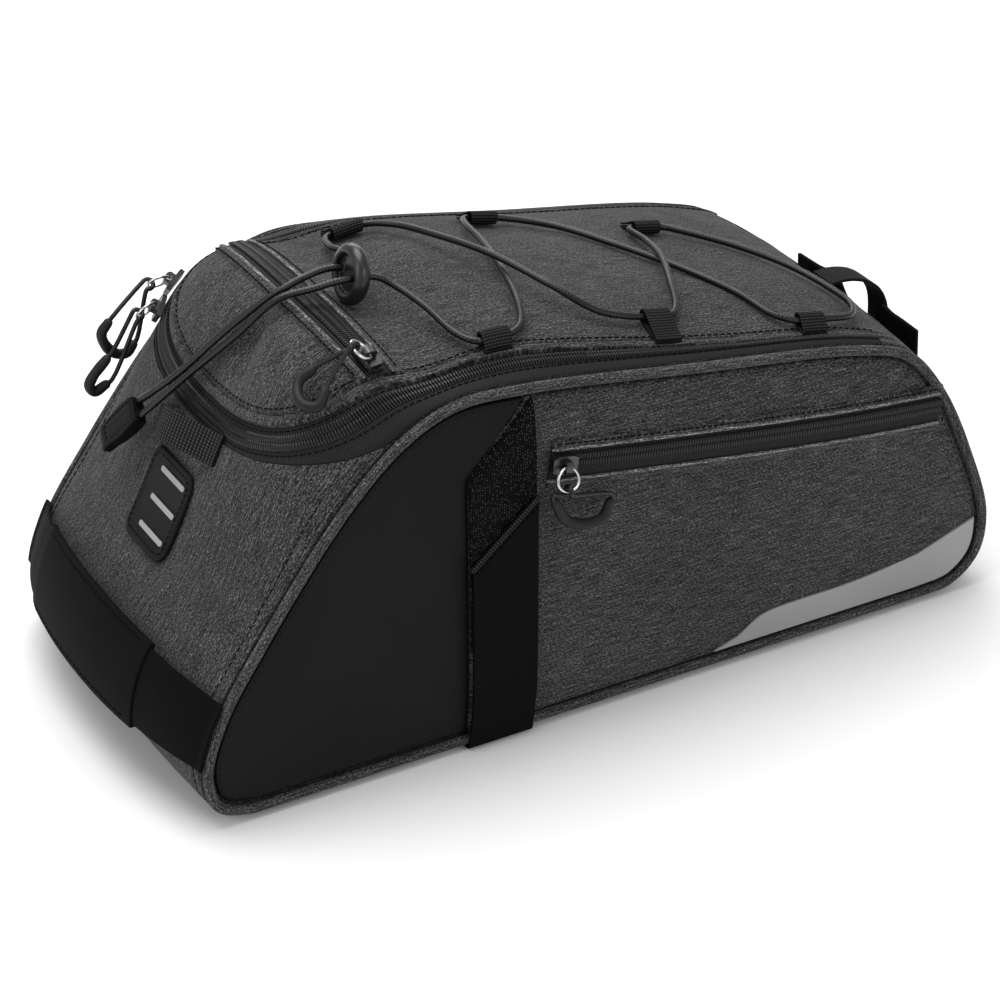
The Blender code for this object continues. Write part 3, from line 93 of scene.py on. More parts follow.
SADDLE_LOOP_WIDTH, SADDLE_LOOP_PLACE = 0.0140, -0.0040
SADDLE_LOOP = (
    (0.0075, -0.0007), (0.0135, -0.0003), (0.0195, -0.0011), (0.0255, -0.0033), (0.0315, -0.0078), (0.0353, -0.0143),
    (0.0365, -0.0213), (0.0366, -0.0283), (0.0362, -0.0353), (0.0356, -0.0413), (0.0358, -0.0463), (0.0376, -0.0508),
)
BUNGEE_DIAMETER = 0.0028
LOOP_FOLD = BUNGEE_DIAMETER / 2 + 2 * GAP + LOOP_SKIN
LACED = 1000 * (2 * GAP + LOOP_FOLD)
BUNGEE_ROUTE = (
    (131.3, 30.9, 9), (150, 14.5, 6.5), (175, -3.5, 5.5), (190, -11.5, 7.5), (198, -9.5, 10.8), (203.5, -9, 13.9),
    (213.5, -9, 13.9), (217, 2, 11.2), (217.5, 20, 6.6), (217, 34, 4.2),
    (220.5, 46, LACED), (235.5, 46, LACED), (244, 38, 4), (252, 14, 6.2), (261, -14, 8.4), (273, -44, 7.8),
    (287, -58, 4.4), (304.5, -62, LACED), (319.5, -62, LACED), (325, -56, 3.6), (331, -40, 5), (340, -15, 5.7),
    (345, 6, 4), (346.5, 23, LACED), (361.5, 23, LACED), (370, 16, 3.2), (386, -2, 3.1),
    (399, -22, 3.2), (406, -42, 3.5), (408, -60, 3.8), (402, -70, 3.4), (387.5, -73, LACED), (372.5, -73, LACED),
    (366, -67, 2.8), (359, -46, 2.2), (345, -17, 2.1), (330, 9, 2.5), (315, 31, 2.9),
    (294, 43, LACED), (279, 43, LACED), (274.5, 35, 3.6), (270, 11, 4.2), (263, -22, 4.6), (257, -47, 4),
    (252, -60, 3.1), (245.5, -65.5, LACED), (230.5, -65.5, LACED), (225.5, -58, 3.9), (221.5, -40, 7.2), (217, -25, 11),
    (213.5, -21, 13.9), (203.5, -21, 13.9), (197, -19.5, 10), (188, -16.5, 7.2), (173, -7, 5.5), (148, 11, 6.5),
    (127.8, 25.4, 9),
)
LOOPS_NEAR = ((238, -65.5), (312, -62), (380, -73))
LOOPS_FAR = ((228, 46), (286.5, 43), (354, 23))
LOCK_PLACE, LOCK_RADIUS, LOCK_THICK, LOCK_HOLE = (208.5, -15, 13.9), 0.0120, 0.0070, 0.0023
PULL_END, PULL_END_WIDTH, PULL_END_THICK = ((129, 28.5, 9), (110, 41, 12.5)), 0.0130, (0.0070, 0.0045)
PULL_CORD_DIAMETER, SLEEVE_DIAMETER, BAIL_WIRE, BAIL_RADIUS = 0.0019, 0.0044, 0.0012, 0.0046
BRIDGE_HIGH, SLIDER_THICK = 0.0034, 0.0020
MAIN_SLIDERS = (69, 53)
MAIN_SLEEVES = (
    ((-31, -2, -9), (-34, -2, -13), (-33, -2, -18), (-29, -2, -23), (-24, -2, -24), (-21, -2, -21)),
    ((-25, 0, -16), (-31, 0, -22), (-33, 0, -26), (-31, 0, -29), (-26, 0, -27)),
)
LID_POCKET_SLEEVE = ((-21, 4, -1), (-26, 4, -4), (-29, 0, -7), (-29, -6, -9), (-25, -9, -9), (-21, -7, -5))
SIDE_POCKET_SLEEVE = ((-6, -5, -13), (-2, -5, -21), (7, -5, -26), (15, -5, -25), (18, -5, -19))


# The form
def smooth_curve(points, fine, closed=False):
    """A centripetal Catmull-Rom curve through the points."""
    points = np.asarray(points, float)
    if closed:
        points = np.vstack([points[-1:], points, points[:2]])
    else:
        points = np.vstack([2 * points[:1] - points[1:2], points, 2 * points[-1:] - points[-2:-1]])
    steps = np.linalg.norm(np.diff(points, axis=0)[:, :3], axis=1) ** 0.5
    slopes = np.diff(points, axis=0) / steps[:, None]
    tangents = slopes[1:] + slopes[:-1] - (points[2:] - points[:-2]) / (steps[:-1] + steps[1:])[:, None]
    t = np.linspace(0, 1, fine, endpoint=False)[:, None]
    curve = []
    for k in range(len(tangents) - 1):
        start, end = points[k + 1], points[k + 2]
        leave, arrive = tangents[k] * steps[k + 1], tangents[k + 1] * steps[k + 1]
        curve.append(
            (2 * t**3 - 3 * t**2 + 1) * start + (t**3 - 2 * t**2 + t) * leave
            + (3 * t**2 - 2 * t**3) * end + (t**3 - t**2) * arrive
        )
    if not closed:
        curve.append(points[-2:-1])
    return np.vstack(curve)


def outline_table():
    rows = [((x - 0.5) * SIDE_LENGTH, z * SIDE_HEIGHT + BASE_LIFT, c * WIDTH, f) for x, z, c, f in OUTLINE]
    fine = smooth_curve(rows, 40, closed=True)
    fine[:, 1:3] = np.maximum(fine[:, 1:3], (BASE_LIFT, 0))
    fine = np.vstack([fine, fine[:1]])
    return fine, np.concatenate([[0], np.cumsum(np.linalg.norm(np.diff(fine[:, :2], axis=0), axis=1))])


FINE, RUNS = outline_table()
GIRTH = RUNS[-1]


def outline_row(run):
    run = np.mod(np.asarray(run, float), GIRTH)
    return np.stack([np.interp(run, RUNS, FINE[:, k]) for k in range(4)], -1)


def outline_normal(run, reach=0.003):
    along = outline_row(np.asarray(run) + reach)[..., :2] - outline_row(np.asarray(run) - reach)[..., :2]
    along = along / np.linalg.norm(along, axis=-1, keepdims=True)
    return np.stack([-along[..., 1], along[..., 0]], -1)


def outline(run, inset=0.0):
    run = np.asarray(run, float)
    return outline_row(run)[..., :2] - outline_normal(run) * np.asarray(inset)[..., None]


def narrowing(x):
    return 1 - TAPER * (np.asarray(x) / SIDE_LENGTH + 0.5)


def crease(run, y):
    """The soft dent in the lid near its tail."""
    turn = radians(CREASE["slant"])
    along_run, across = run - CREASE["run"] * GIRTH, y - CREASE["y"] * HALF
    along = along_run * cos(turn) + across * sin(turn)
    beside = across * cos(turn) - along_run * sin(turn)
    return CREASE["depth"] * np.exp(-(along / CREASE["length"]) ** 2 - (beside / CREASE["width"]) ** 2)


def wrap(run, y, height=0.0):
    """A point on the strip that wraps round the bag, the height outside its surface."""
    run, y, height = np.broadcast_arrays(*(np.asarray(v, float) for v in (run, y, height)))
    row, normal = outline_row(run), outline_normal(run)
    across = np.clip(np.abs(y) / HALF, 0, 1)
    offset = row[..., 2] * (1 - across ** row[..., 3]) - crease(run, y) * (1 - across**4) + height
    place = row[..., :2] + normal * offset[..., None]
    return np.stack([place[..., 0], y * narrowing(row[..., 0]), place[..., 1]], -1)


def wrap_axes(run, y, step=0.0008):
    along = wrap(run + step, y) - wrap(run - step, y)
    across = wrap(run, np.clip(y + step, -HALF, HALF)) - wrap(run, np.clip(y - step, -HALF, HALF))
    out = np.cross(across, along)
    out_2d = outline_normal(run)
    out = out * np.sign(out[0] * out_2d[0] + out[2] * out_2d[1])
    return [v / np.linalg.norm(v) for v in (along, across, out)]


def wrap_free(run, y, height):
    base = wrap(run, np.clip(y, -HALF, HALF), 0)
    normal = outline_normal(run)
    return base + np.array([normal[0] * height, 0, normal[1] * height]) + np.array([0, y - base[1], 0])


def side_x(share):
    return (np.asarray(share) - 0.5) * SIDE_LENGTH


def side_z(share):
    return BASE_LIFT + np.asarray(share) * SIDE_HEIGHT


def side_reach(x, z):
    centre = np.array([side_x(SIDE_CENTRE[0]), side_z(SIDE_CENTRE[1])])
    rim = FINE[:, :2] - centre
    angles = np.arctan2(rim[:, 1], rim[:, 0])
    order = np.argsort(angles)
    u, v = x - centre[0], z - centre[1]
    radius = np.interp(np.arctan2(v, u), angles[order], np.linalg.norm(rim, axis=1)[order], period=tau)
    return np.hypot(u, v) / radius


def side(x, z, height=0.0, sign=-1):
    """A point on a padded side panel, the height outside its face."""
    x, z = np.asarray(x, float), np.asarray(z, float)
    reach = np.clip(side_reach(x, z), 0, 1)
    y = HALF * narrowing(x) + PANEL_SKIN + GAP + SIDE_PAD * (1 - reach**5) + height
    return np.stack([x, sign * y, z], -1)


def lid_half(run):
    table = np.array(LID_EDGE)
    return HALF * np.interp(np.asarray(run) / GIRTH, table[:, 0], table[:, 1])


def corner(start, angle):
    power = 2 / CORNER_SQUARENESS
    run = CORNER_END - (CORNER_END - start) * np.abs(np.cos(angle)) ** power
    return run * GIRTH, np.sign(angle) * np.abs(np.sin(angle)) ** power


def strap_edges():
    middle = side_x(STRAP_PLACE)
    return middle - STRAP_WIDTH / 2, middle + STRAP_WIDTH / 2


def mm(values):
    return np.array(values, float) / 1000


def soft_noise(u, v, seed, scale):
    """Smooth seeded noise over a grid, about -1 to 1."""
    flat = [noise.noise(Vector((a * scale, b * scale, seed))) for a, b in zip(np.ravel(u), np.ravel(v))]
    return np.array(flat).reshape(np.shape(u)) * 1.6


def lengths(path):
    path = np.asarray(path, float)
    return np.concatenate([[0], np.cumsum(np.linalg.norm(np.diff(path, axis=0), axis=1))])


def unit(v):
    v = np.asarray(v, float)
    return v / np.maximum(np.linalg.norm(v, axis=-1, keepdims=True), 1e-12)


# The solids were moved so that the origin is under the middle of the bag
local_low = outline(RUNS, PIPING_RADIUS)[:, 0].min() - PIPING_RADIUS
SHIFT = np.array([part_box("piping_near")[0][0] - local_low, 0.0, 0.0])
SHIFT[0] = 0.0072888
SHIFT[1] = 0.0029910


# Materials
class Finish:
    """A procedural material on the pieces' own lengths (their UVs are in metres)."""

    def __init__(self, name, color, roughness, **sockets):
        self.made = bpy.data.materials.new(name)
        self.made.use_nodes = True
        self.tree = self.made.node_tree
        self.shader = self.tree.nodes["Principled BSDF"]
        self.shader.inputs["Base Color"].default_value = (*color, 1)
        self.shader.inputs["Roughness"].default_value = roughness
        for key, value in sockets.items():
            self.shader.inputs[key.replace("_", " ")].default_value = value
        self.place = self.tree.nodes.new("ShaderNodeTexCoord").outputs["UV"]

    def node(self, kind, inputs=(), **settings):
        made = self.tree.nodes.new(kind)
        for key, value in settings.items():
            setattr(made, key, value)
        for key, value in dict(inputs).items():
            if isinstance(value, bpy.types.NodeSocket):
                self.tree.links.new(value, made.inputs[key])
            else:
                made.inputs[key].default_value = value
        return made

    def at(self, scale, turn=0.0, move=(0, 0, 0)):
        inputs = {"Vector": self.place, "Scale": scale, "Rotation": (0, 0, turn), "Location": move}
        return self.node("ShaderNodeMapping", inputs).outputs[0]

    def noise(self, scale, detail=2.0, rough=0.5, move=(0, 0, 0), turn=0.0):
        inputs = {"Vector": self.at(scale, turn, move), "Scale": 1.0, "Detail": detail, "Roughness": rough}
        return self.node("ShaderNodeTexNoise", inputs).outputs["Fac"]

    def bands(self, pitch, along, turn=0.0, twist=0.0):
        """Stripes at a pitch in metres (the wave repeats every tau / 20 of its own lengths)."""
        count = tau / 20 / pitch
        scale = (count, 0.0001, 1) if along == "u" else (0.0001, count, 1)
        place = self.at(scale, turn)
        inputs = {"Vector": place, "Scale": 1.0, "Distortion": twist}
        wave = self.node("ShaderNodeTexWave", inputs, bands_direction="X" if along == "u" else "Y")
        return wave.outputs["Fac"]

    def turned_bands(self, pitch, turn):
        count = tau / 20 / pitch
        place = self.node("ShaderNodeMapping", {"Vector": self.at((count, count, 1)), "Rotation": (0, 0, turn)}).outputs[0]
        return self.node("ShaderNodeTexWave", {"Vector": place, "Scale": 1.0}).outputs["Fac"]

    def math(self, operation, first, second=0.5):
        made = self.node("ShaderNodeMath", {0: first, 1: second}, operation=operation)
        return made.outputs[0]

    def ramp(self, value, stops):
        made = self.node("ShaderNodeValToRGB", {"Fac": value})
        row = made.color_ramp.elements
        while len(row) < len(stops):
            row.new(0.5)
        for element, (place, tone) in zip(row, stops):
            element.position = place
            element.color = (tone, tone, tone * 1.03, 1)
        return made.outputs["Color"]

    def color(self, value):
        self.tree.links.new(value, self.shader.inputs["Base Color"])

    def rough(self, value, low, high):
        made = self.node("ShaderNodeMapRange", {"Value": value, "To Min": low, "To Max": high})
        self.tree.links.new(made.outputs[0], self.shader.inputs["Roughness"])

    def bump(self, height, distance, strength=1.0, under=None):
        inputs = {"Height": height, "Distance": distance, "Strength": strength}
        if under is not None:
            inputs["Normal"] = under
        out = self.node("ShaderNodeBump", inputs).outputs[0]
        self.tree.links.new(out, self.shader.inputs["Normal"])
        return out


def heather_finish(name, lift=1.0):
    f = Finish(name, (0.045, 0.045, 0.047), 0.88, Sheen_Weight=0.05, Sheen_Roughness=0.5, Specular_IOR_Level=0.12)
    fleck = f.noise((760, 2700, 1), 2.0, 0.6)
    cross = f.noise((2800, 1000, 1), 1.0, 0.5, (3, 7, 0))
    streak = f.noise((105, 1700, 1), 1.5, 0.5, (9, 2, 0))
    cloud = f.noise((14, 26, 1), 2.0, 0.5, (1, 5, 0))
    mixed = f.math("ADD", f.math("MULTIPLY", fleck, 0.46), f.math("MULTIPLY", cross, 0.30))
    mixed = f.math("ADD", mixed, f.math("MULTIPLY", streak, 0.24))
    mixed = f.math("ADD", mixed, f.math("MULTIPLY", f.math("SUBTRACT", cloud, 0.5), 0.05))
    stops = ((0.38, 0.003), (0.45, 0.014), (0.505, 0.034), (0.565, 0.096), (0.66, 0.215))
    # lift brightens the whole ramp; the lighter copies paint highlights on the piping and the pocket fold edges.
    f.color(f.ramp(mixed, [(place, tone * lift) for place, tone in stops]))
    weave = f.math("MULTIPLY", f.bands(0.0006, "u"), f.bands(0.0006, "v"))
    first = f.bump(weave, 0.00010, 0.5)
    f.bump(mixed, 0.00045, 0.7, first)
    return f.made


def pu_finish(name, tone, gloss, low, high):
    f = Finish(name, (tone, tone, tone), 0.5, Specular_IOR_Level=gloss)
    grain = f.noise((1500, 1500, 1), 3.0, 0.6)
    broad = f.noise((22, 22, 1), 2.0, 0.5, (4, 1, 0))
    f.color(f.ramp(broad, ((0.3, tone * 0.8), (0.7, tone * 1.2))))
    f.rough(grain, low, high)
    f.bump(grain, 0.00006, 0.45)
    return f.made


def webbing_finish(name, tone, pitch=0.0009, hook=False):
    f = Finish(name, (tone, tone, tone), 0.75, Specular_IOR_Level=0.07)
    rib = f.bands(pitch, "u")
    cross = f.bands(0.0013, "v", twist=0.4)
    weave = f.math("ADD", f.math("MULTIPLY", rib, 0.65), f.math("MULTIPLY", cross, 0.35))
    if hook:
        cell = f.node("ShaderNodeTexVoronoi", {"Vector": f.at((860, 860, 1)), "Scale": 1.0, "Randomness": 0.35})
        weave = f.math("SUBTRACT", 1.0, cell.outputs["Distance"])
    fuzz = f.noise((900, 900, 1), 2.0)
    stops = ((0.25, tone * 0.3), (0.7, tone), (0.95, tone * 2.8))
    if hook:
        stops = ((0.62, tone * 0.2), (0.80, tone), (0.97, tone * 18))
    f.color(f.ramp(f.math("ADD", weave, f.math("MULTIPLY", fuzz, 0.15)), stops))
    f.bump(weave, 0.00022, 0.9)
    return f.made


def zip_finish():
    f = Finish("zip_black", (0.018, 0.018, 0.019), 0.72, Specular_IOR_Level=0.14)
    twill = f.bands(0.0008, "u", twist=0.3)
    fleck = f.noise((1100, 1500, 1), 2.0)
    mixed = f.math("ADD", f.math("MULTIPLY", twill, 0.5), f.math("MULTIPLY", fleck, 0.5))
    f.color(f.ramp(mixed, ((0.27, 0.002), (0.50, 0.008), (0.72, 0.034))))
    f.bump(mixed, 0.00015, 0.7)
    return f.made


def teeth_finish():
    f = Finish("zip_teeth", (0.010, 0.010, 0.010), 0.42, Specular_IOR_Level=0.35)
    f.rough(f.noise((400, 400, 1), 1.0), 0.34, 0.50)
    f.color(f.ramp(f.noise((300, 300, 1), 2.0), ((0.3, 0.007), (0.7, 0.014))))
    return f.made


def rubber_finish():
    f = Finish("black_rubber", (0.010, 0.010, 0.010), 0.5, Specular_IOR_Level=0.22)
    f.color(f.ramp(f.noise((120, 120, 1), 2.0), ((0.3, 0.009), (0.7, 0.014))))
    f.bump(f.noise((1800, 1800, 1), 2.0), 0.00004, 0.4)
    return f.made


def braid_finish():
    f = Finish("braided_cord", (0.004, 0.004, 0.004), 0.26, Specular_IOR_Level=0.38)
    one, two = f.turned_bands(0.0011, 0.7), f.turned_bands(0.0011, -0.7)
    braid = f.math("MAXIMUM", one, two)
    f.color(f.ramp(braid, ((0.35, 0.002), (0.75, 0.005), (1.0, 0.009))))
    f.bump(braid, 0.00012, 0.6)
    return f.made


def thread_finish(name="black_thread", tone=0.003):
    f = Finish(name, (tone, tone, tone), 0.7, Specular_IOR_Level=0.06)
    f.color(f.ramp(f.noise((1500, 1500, 1), 1.0), ((0.3, tone * 0.6), (0.7, tone * 1.5))))
    return f.made


def nickel_finish(name="nickel", tone=0.70, rough=0.17):
    f = Finish(name, (tone, tone, tone), rough, Metallic=1.0)
    f.rough(f.noise((500, 500, 1), 2.0), rough * 0.7, rough * 1.5)
    f.color(f.ramp(f.noise((90, 90, 1), 2.0), ((0.3, tone * 0.88), (0.7, tone * 1.1))))
    return f.made


def gloss_finish():
    f = Finish("gloss_plastic", (0.009, 0.009, 0.009), 0.30, Coat_Weight=0.12, Coat_Roughness=0.18)
    f.color(f.ramp(f.noise((60, 60, 1), 2.0), ((0.3, 0.007), (0.7, 0.012))))
    f.rough(f.noise((700, 700, 1), 2.0), 0.26, 0.38)
    return f.made


def reflective_finish():
    f = Finish("reflective_grey", (0.28, 0.28, 0.29), 0.40, Specular_IOR_Level=0.6)
    broad = f.noise((16, 16, 1), 2.0)
    f.color(f.ramp(broad, ((0.3, 0.250), (0.7, 0.300))))
    f.rough(f.noise((1200, 1200, 1), 2.0), 0.34, 0.46)
    f.bump(f.noise((1500, 1500, 1), 2.0), 0.00003, 0.4)
    return f.made


HEATHER = heather_finish("heather_cloth")
# The piping uses a lighter copy of the cloth: a painted highlight along the round piping.
PIPING_HIGHLIGHT_CLOTH = heather_finish("heather_piping_painted_highlight", 1.15)
PU = pu_finish("black_pu", 0.0042, 0.12, 0.44, 0.58)
HANDLE_PU = pu_finish("matte_pu", 0.0040, 0.05, 0.62, 0.80)
WEB = webbing_finish("black_webbing", 0.0020)
LOOP_WEB = webbing_finish("ribbed_webbing", 0.0130, pitch=0.00125)
LIGHT_WEB = webbing_finish("light_loop_ribs", 0.0200, pitch=0.0016)
EDGE_WEB = webbing_finish("folded_webbing", 0.0170, pitch=0.0012)
# A much lighter copy of the cloth: a painted highlight along the pocket fold edges.
FOLD_HIGHLIGHT_CLOTH = heather_finish("heather_fold_painted_highlight", 3.0)
HOOK_WEB = webbing_finish("hook_webbing", 0.0040, hook=True)
ZIP = zip_finish()
TEETH = teeth_finish()
RUBBER = rubber_finish()
BRAID = braid_finish()
THREAD = thread_finish()
NICKEL = nickel_finish()
DARK_METAL = nickel_finish("slider_nickel", 0.08, 0.30)
GLOSS = gloss_finish()
GREY = reflective_finish()


# Mesh helpers
def piece(name, vertices, faces, uv, finish, nodes=(), sharp=55):
    """A mesh piece with lengths as UVs, riding on the bag."""
    vertices = np.asarray(vertices, float).reshape(-1, 3) + SHIFT
    uv = np.asarray(uv, float).reshape(-1, 2)
    mesh = bpy.data.meshes.new(name)
    mesh.from_pydata(vertices.tolist(), [], [tuple(map(int, f)) for f in faces])
    layer = mesh.uv_layers.new(name="UVMap")
    index = np.empty(len(mesh.loops), int)
    mesh.loops.foreach_get("vertex_index", index)
    layer.data.foreach_set("uv", uv[index].astype(np.float32).ravel())
    mesh.shade_smooth()
    mesh.set_sharp_from_angle(angle=radians(sharp))
    mesh.materials.append(finish)
    made = bpy.data.objects.new(name, mesh)
    bpy.context.scene.collection.objects.link(made)
    if nodes:
        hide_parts(*nodes)
    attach(made, "root")
    return made


def grid_quads(rows, columns, base=0, wrap_columns=False):
    r = np.arange(rows - 1)[:, None]
    c = np.arange(columns if wrap_columns else columns - 1)[None, :]
    nxt = (c + 1) % columns
    here, there = base + r * columns, base + (r + 1) * columns
    return np.stack([here + c, here + nxt, there + nxt, there + c], -1).reshape(-1, 4)


def outward(points, quads, middle):
    """Quads wound so that most face away from the middle."""
    a, b, c = (points[quads[:, k]] for k in (0, 1, 2))
    normal = np.cross(b - a, c - a)
    away = ((a + c) / 2 - middle)
    return quads if (normal * away).sum() > 0 else quads[:, ::-1]


def slab(name, outer, inner, uv, finish, nodes=(), bevel=0.0004, segments=2, sharp=50):
    """A closed sheet between two grids, with softened edges."""
    outer, inner = np.asarray(outer, float), np.asarray(inner, float)
    rows, columns = outer.shape[:2]
    size = rows * columns
    points = np.vstack([outer.reshape(-1, 3), inner.reshape(-1, 3)])
    top = grid_quads(rows, columns)
    a, b, c = (points[top[:, k]] for k in (0, 1, 2))
    if (np.cross(b - a, c - a) * (points[top[:, 0]] - points[top[:, 0] + size])).sum() < 0:
        top = top[:, ::-1]
    under = top[:, ::-1] + size
    rim = [k for k in range(columns)] + [r * columns + columns - 1 for r in range(1, rows)]
    rim += [(rows - 1) * columns + k for k in range(columns - 2, -1, -1)] + [r * columns for r in range(rows - 2, 0, -1)]
    edge = {(int(q[k]), int(q[(k + 1) % 4])) for q in top for k in range(4)}
    sides = []
    for here, there in zip(rim, rim[1:] + rim[:1]):
        if (here, there) in edge:
            sides.append((there, here, here + size, there + size))
        else:
            sides.append((here, there, there + size, here + size))
    uv = np.asarray(uv, float).reshape(-1, 2)
    made = piece(name, points, list(top) + list(under) + sides, np.vstack([uv, uv]), finish, nodes, sharp)
    if bevel:
        soft = made.modifiers.new("soft_edges", "BEVEL")
        soft.width = bevel
        soft.segments = segments
        soft.limit_method = "ANGLE"
        soft.angle_limit = radians(sharp)
    return made


def frames(path, closed=False, guide=None):
    """Tangent, side and up along a path, turned as little as the bends allow."""
    path = np.asarray(path, float)
    tangents = unit(np.roll(path, -1, 0) - np.roll(path, 1, 0) if closed else np.gradient(path, axis=0))
    if guide is None:
        guide = np.array([0.0, 0.0, 1.0]) if abs(tangents[0][2]) < 0.8 else np.array([0.0, 1.0, 0.0])
    sides, ups = [], []
    for tangent in tangents:
        guide = unit(guide - tangent * guide.dot(tangent))
        sides.append(guide)
        ups.append(np.cross(tangent, guide))
    return tangents, np.array(sides), np.array(ups)


def tube_parts(path, radius, sides=12, closed=False, caps=True):
    """Vertices, faces and UVs of a round tube, with domed ends where it is open."""
    path = np.asarray(path, float)
    tangents, first, second = frames(path, closed)
    radii = np.full(len(path), radius, float) if np.isscalar(radius) else np.asarray(radius, float)
    if caps and not closed:
        steps = np.radians([80, 55, 28])
        head = [(path[0] - tangents[0] * radii[0] * sin(a), first[0], second[0], radii[0] * cos(a)) for a in steps]
        tail = [(path[-1] + tangents[-1] * radii[-1] * sin(a), first[-1], second[-1], radii[-1] * cos(a)) for a in steps[::-1]]
    else:
        head, tail = [], []
    rows = head + list(zip(path, first, second, radii)) + tail
    angle = np.arange(sides) * tau / sides
    ring = [c + r * (np.cos(angle)[:, None] * a + np.sin(angle)[:, None] * b) for c, a, b, r in rows]
    points = np.vstack(ring)
    run = lengths([c for c, _, _, _ in rows])
    mean = float(radii.mean())
    uv = np.stack(np.broadcast_arrays(run[:, None], np.minimum(angle, tau - angle)[None, :] * mean), -1)
    quads = grid_quads(len(rows), sides, 0, True)
    faces = [tuple(q) for q in quads]
    if closed:
        last = (len(rows) - 1) * sides
        faces += [(last + k, last + (k + 1) % sides, (k + 1) % sides, k) for k in range(sides)]
    else:
        faces += [tuple(range(sides))[::-1], tuple((len(rows) - 1) * sides + k for k in range(sides))]
    return points, faces, uv.reshape(-1, 2)


def fix_normals(made):
    """Turns a closed piece's faces outward."""
    import bmesh
    shape = bmesh.new()
    shape.from_mesh(made.data)
    bmesh.ops.recalc_face_normals(shape, faces=shape.faces)
    shape.to_mesh(made.data)
    shape.free()


def tube(name, path, radius, finish, nodes=(), sides=12, closed=False, caps=True):
    points, faces, uv = tube_parts(path, radius, sides, closed, caps)
    made = piece(name, points, faces, uv, finish, nodes, sharp=70)
    fix_normals(made)
    return made


def many(name, parts, finish, nodes=()):
    """Several closed parts as one piece."""
    points, faces, uvs, base = [], [], [], 0
    for part_points, part_faces, part_uv in parts:
        points.append(part_points)
        uvs.append(part_uv)
        faces += [tuple(int(k) + base for k in face) for face in part_faces]
        base += len(part_points)
    made = piece(name, np.vstack(points), faces, np.vstack(uvs), finish, nodes, sharp=70)
    fix_normals(made)
    return made


def stitch_parts(path, out, pitch=0.0031, length=0.0022, radius=0.00026, lift=0.0001):
    """Small thread stitches along a line, each sunk at its ends."""
    path, out = np.asarray(path, float), np.asarray(out, float)
    run = lengths(path)
    parts = []
    for start in np.arange(pitch * 0.5, run[-1] - length, pitch):
        line = []
        for share, rise in ((0, -1.0), (0.25, 0.35), (0.5, 0.7), (0.75, 0.35), (1, -1.0)):
            place = start + share * length
            here = np.array([np.interp(place, run, path[:, k]) for k in range(3)])
            normal = unit(np.array([np.interp(place, run, out[:, k]) for k in range(3)]))
            line.append(here + normal * (lift + rise * radius))
        parts.append(tube_parts(line, radius, 5, caps=False))
    return parts


STITCHES = []


def stitch_wrap(points, height=0.0, **sizes):
    """Stitches along (run, y) points on the wrap."""
    points = np.asarray(points, float)
    path = wrap(points[:, 0], points[:, 1], height)
    high = wrap(points[:, 0], points[:, 1], height + 0.002)
    STITCHES.extend(stitch_parts(path, unit(high - path), **sizes))


def stitch_side(points, height, sign=-1, **sizes):
    points = np.asarray(points, float)
    path = side(points[:, 0], points[:, 1], height, sign)
    out = np.broadcast_to(np.array([0.0, sign, 0.0]), path.shape)
    STITCHES.extend(stitch_parts(path, out, **sizes))


# Body cloth: tail, base and saddle end, with the two flat sides under the panels
def seam_dip(y, run):
    """The cloth tucks in beside the piping, and a sewn line runs a little inside it."""
    beside = HALF - np.abs(y)
    dip = -0.0009 * np.exp(-(beside / 0.0010) ** 2) - 0.00045 * np.exp(-((beside - 0.0052) / 0.0007) ** 2)
    return dip


def cloth_height(run, y, seed, amount=0.0006):
    """Low, soft unevenness of padded cloth."""
    edge = np.clip((HALF - np.abs(y)) / 0.02, 0, 1)
    broad = soft_noise(run, y, seed, 26)
    fine = soft_noise(run, y * 1.7, seed + 3.1, 70)
    return edge * (amount * broad + amount * 0.35 * fine)


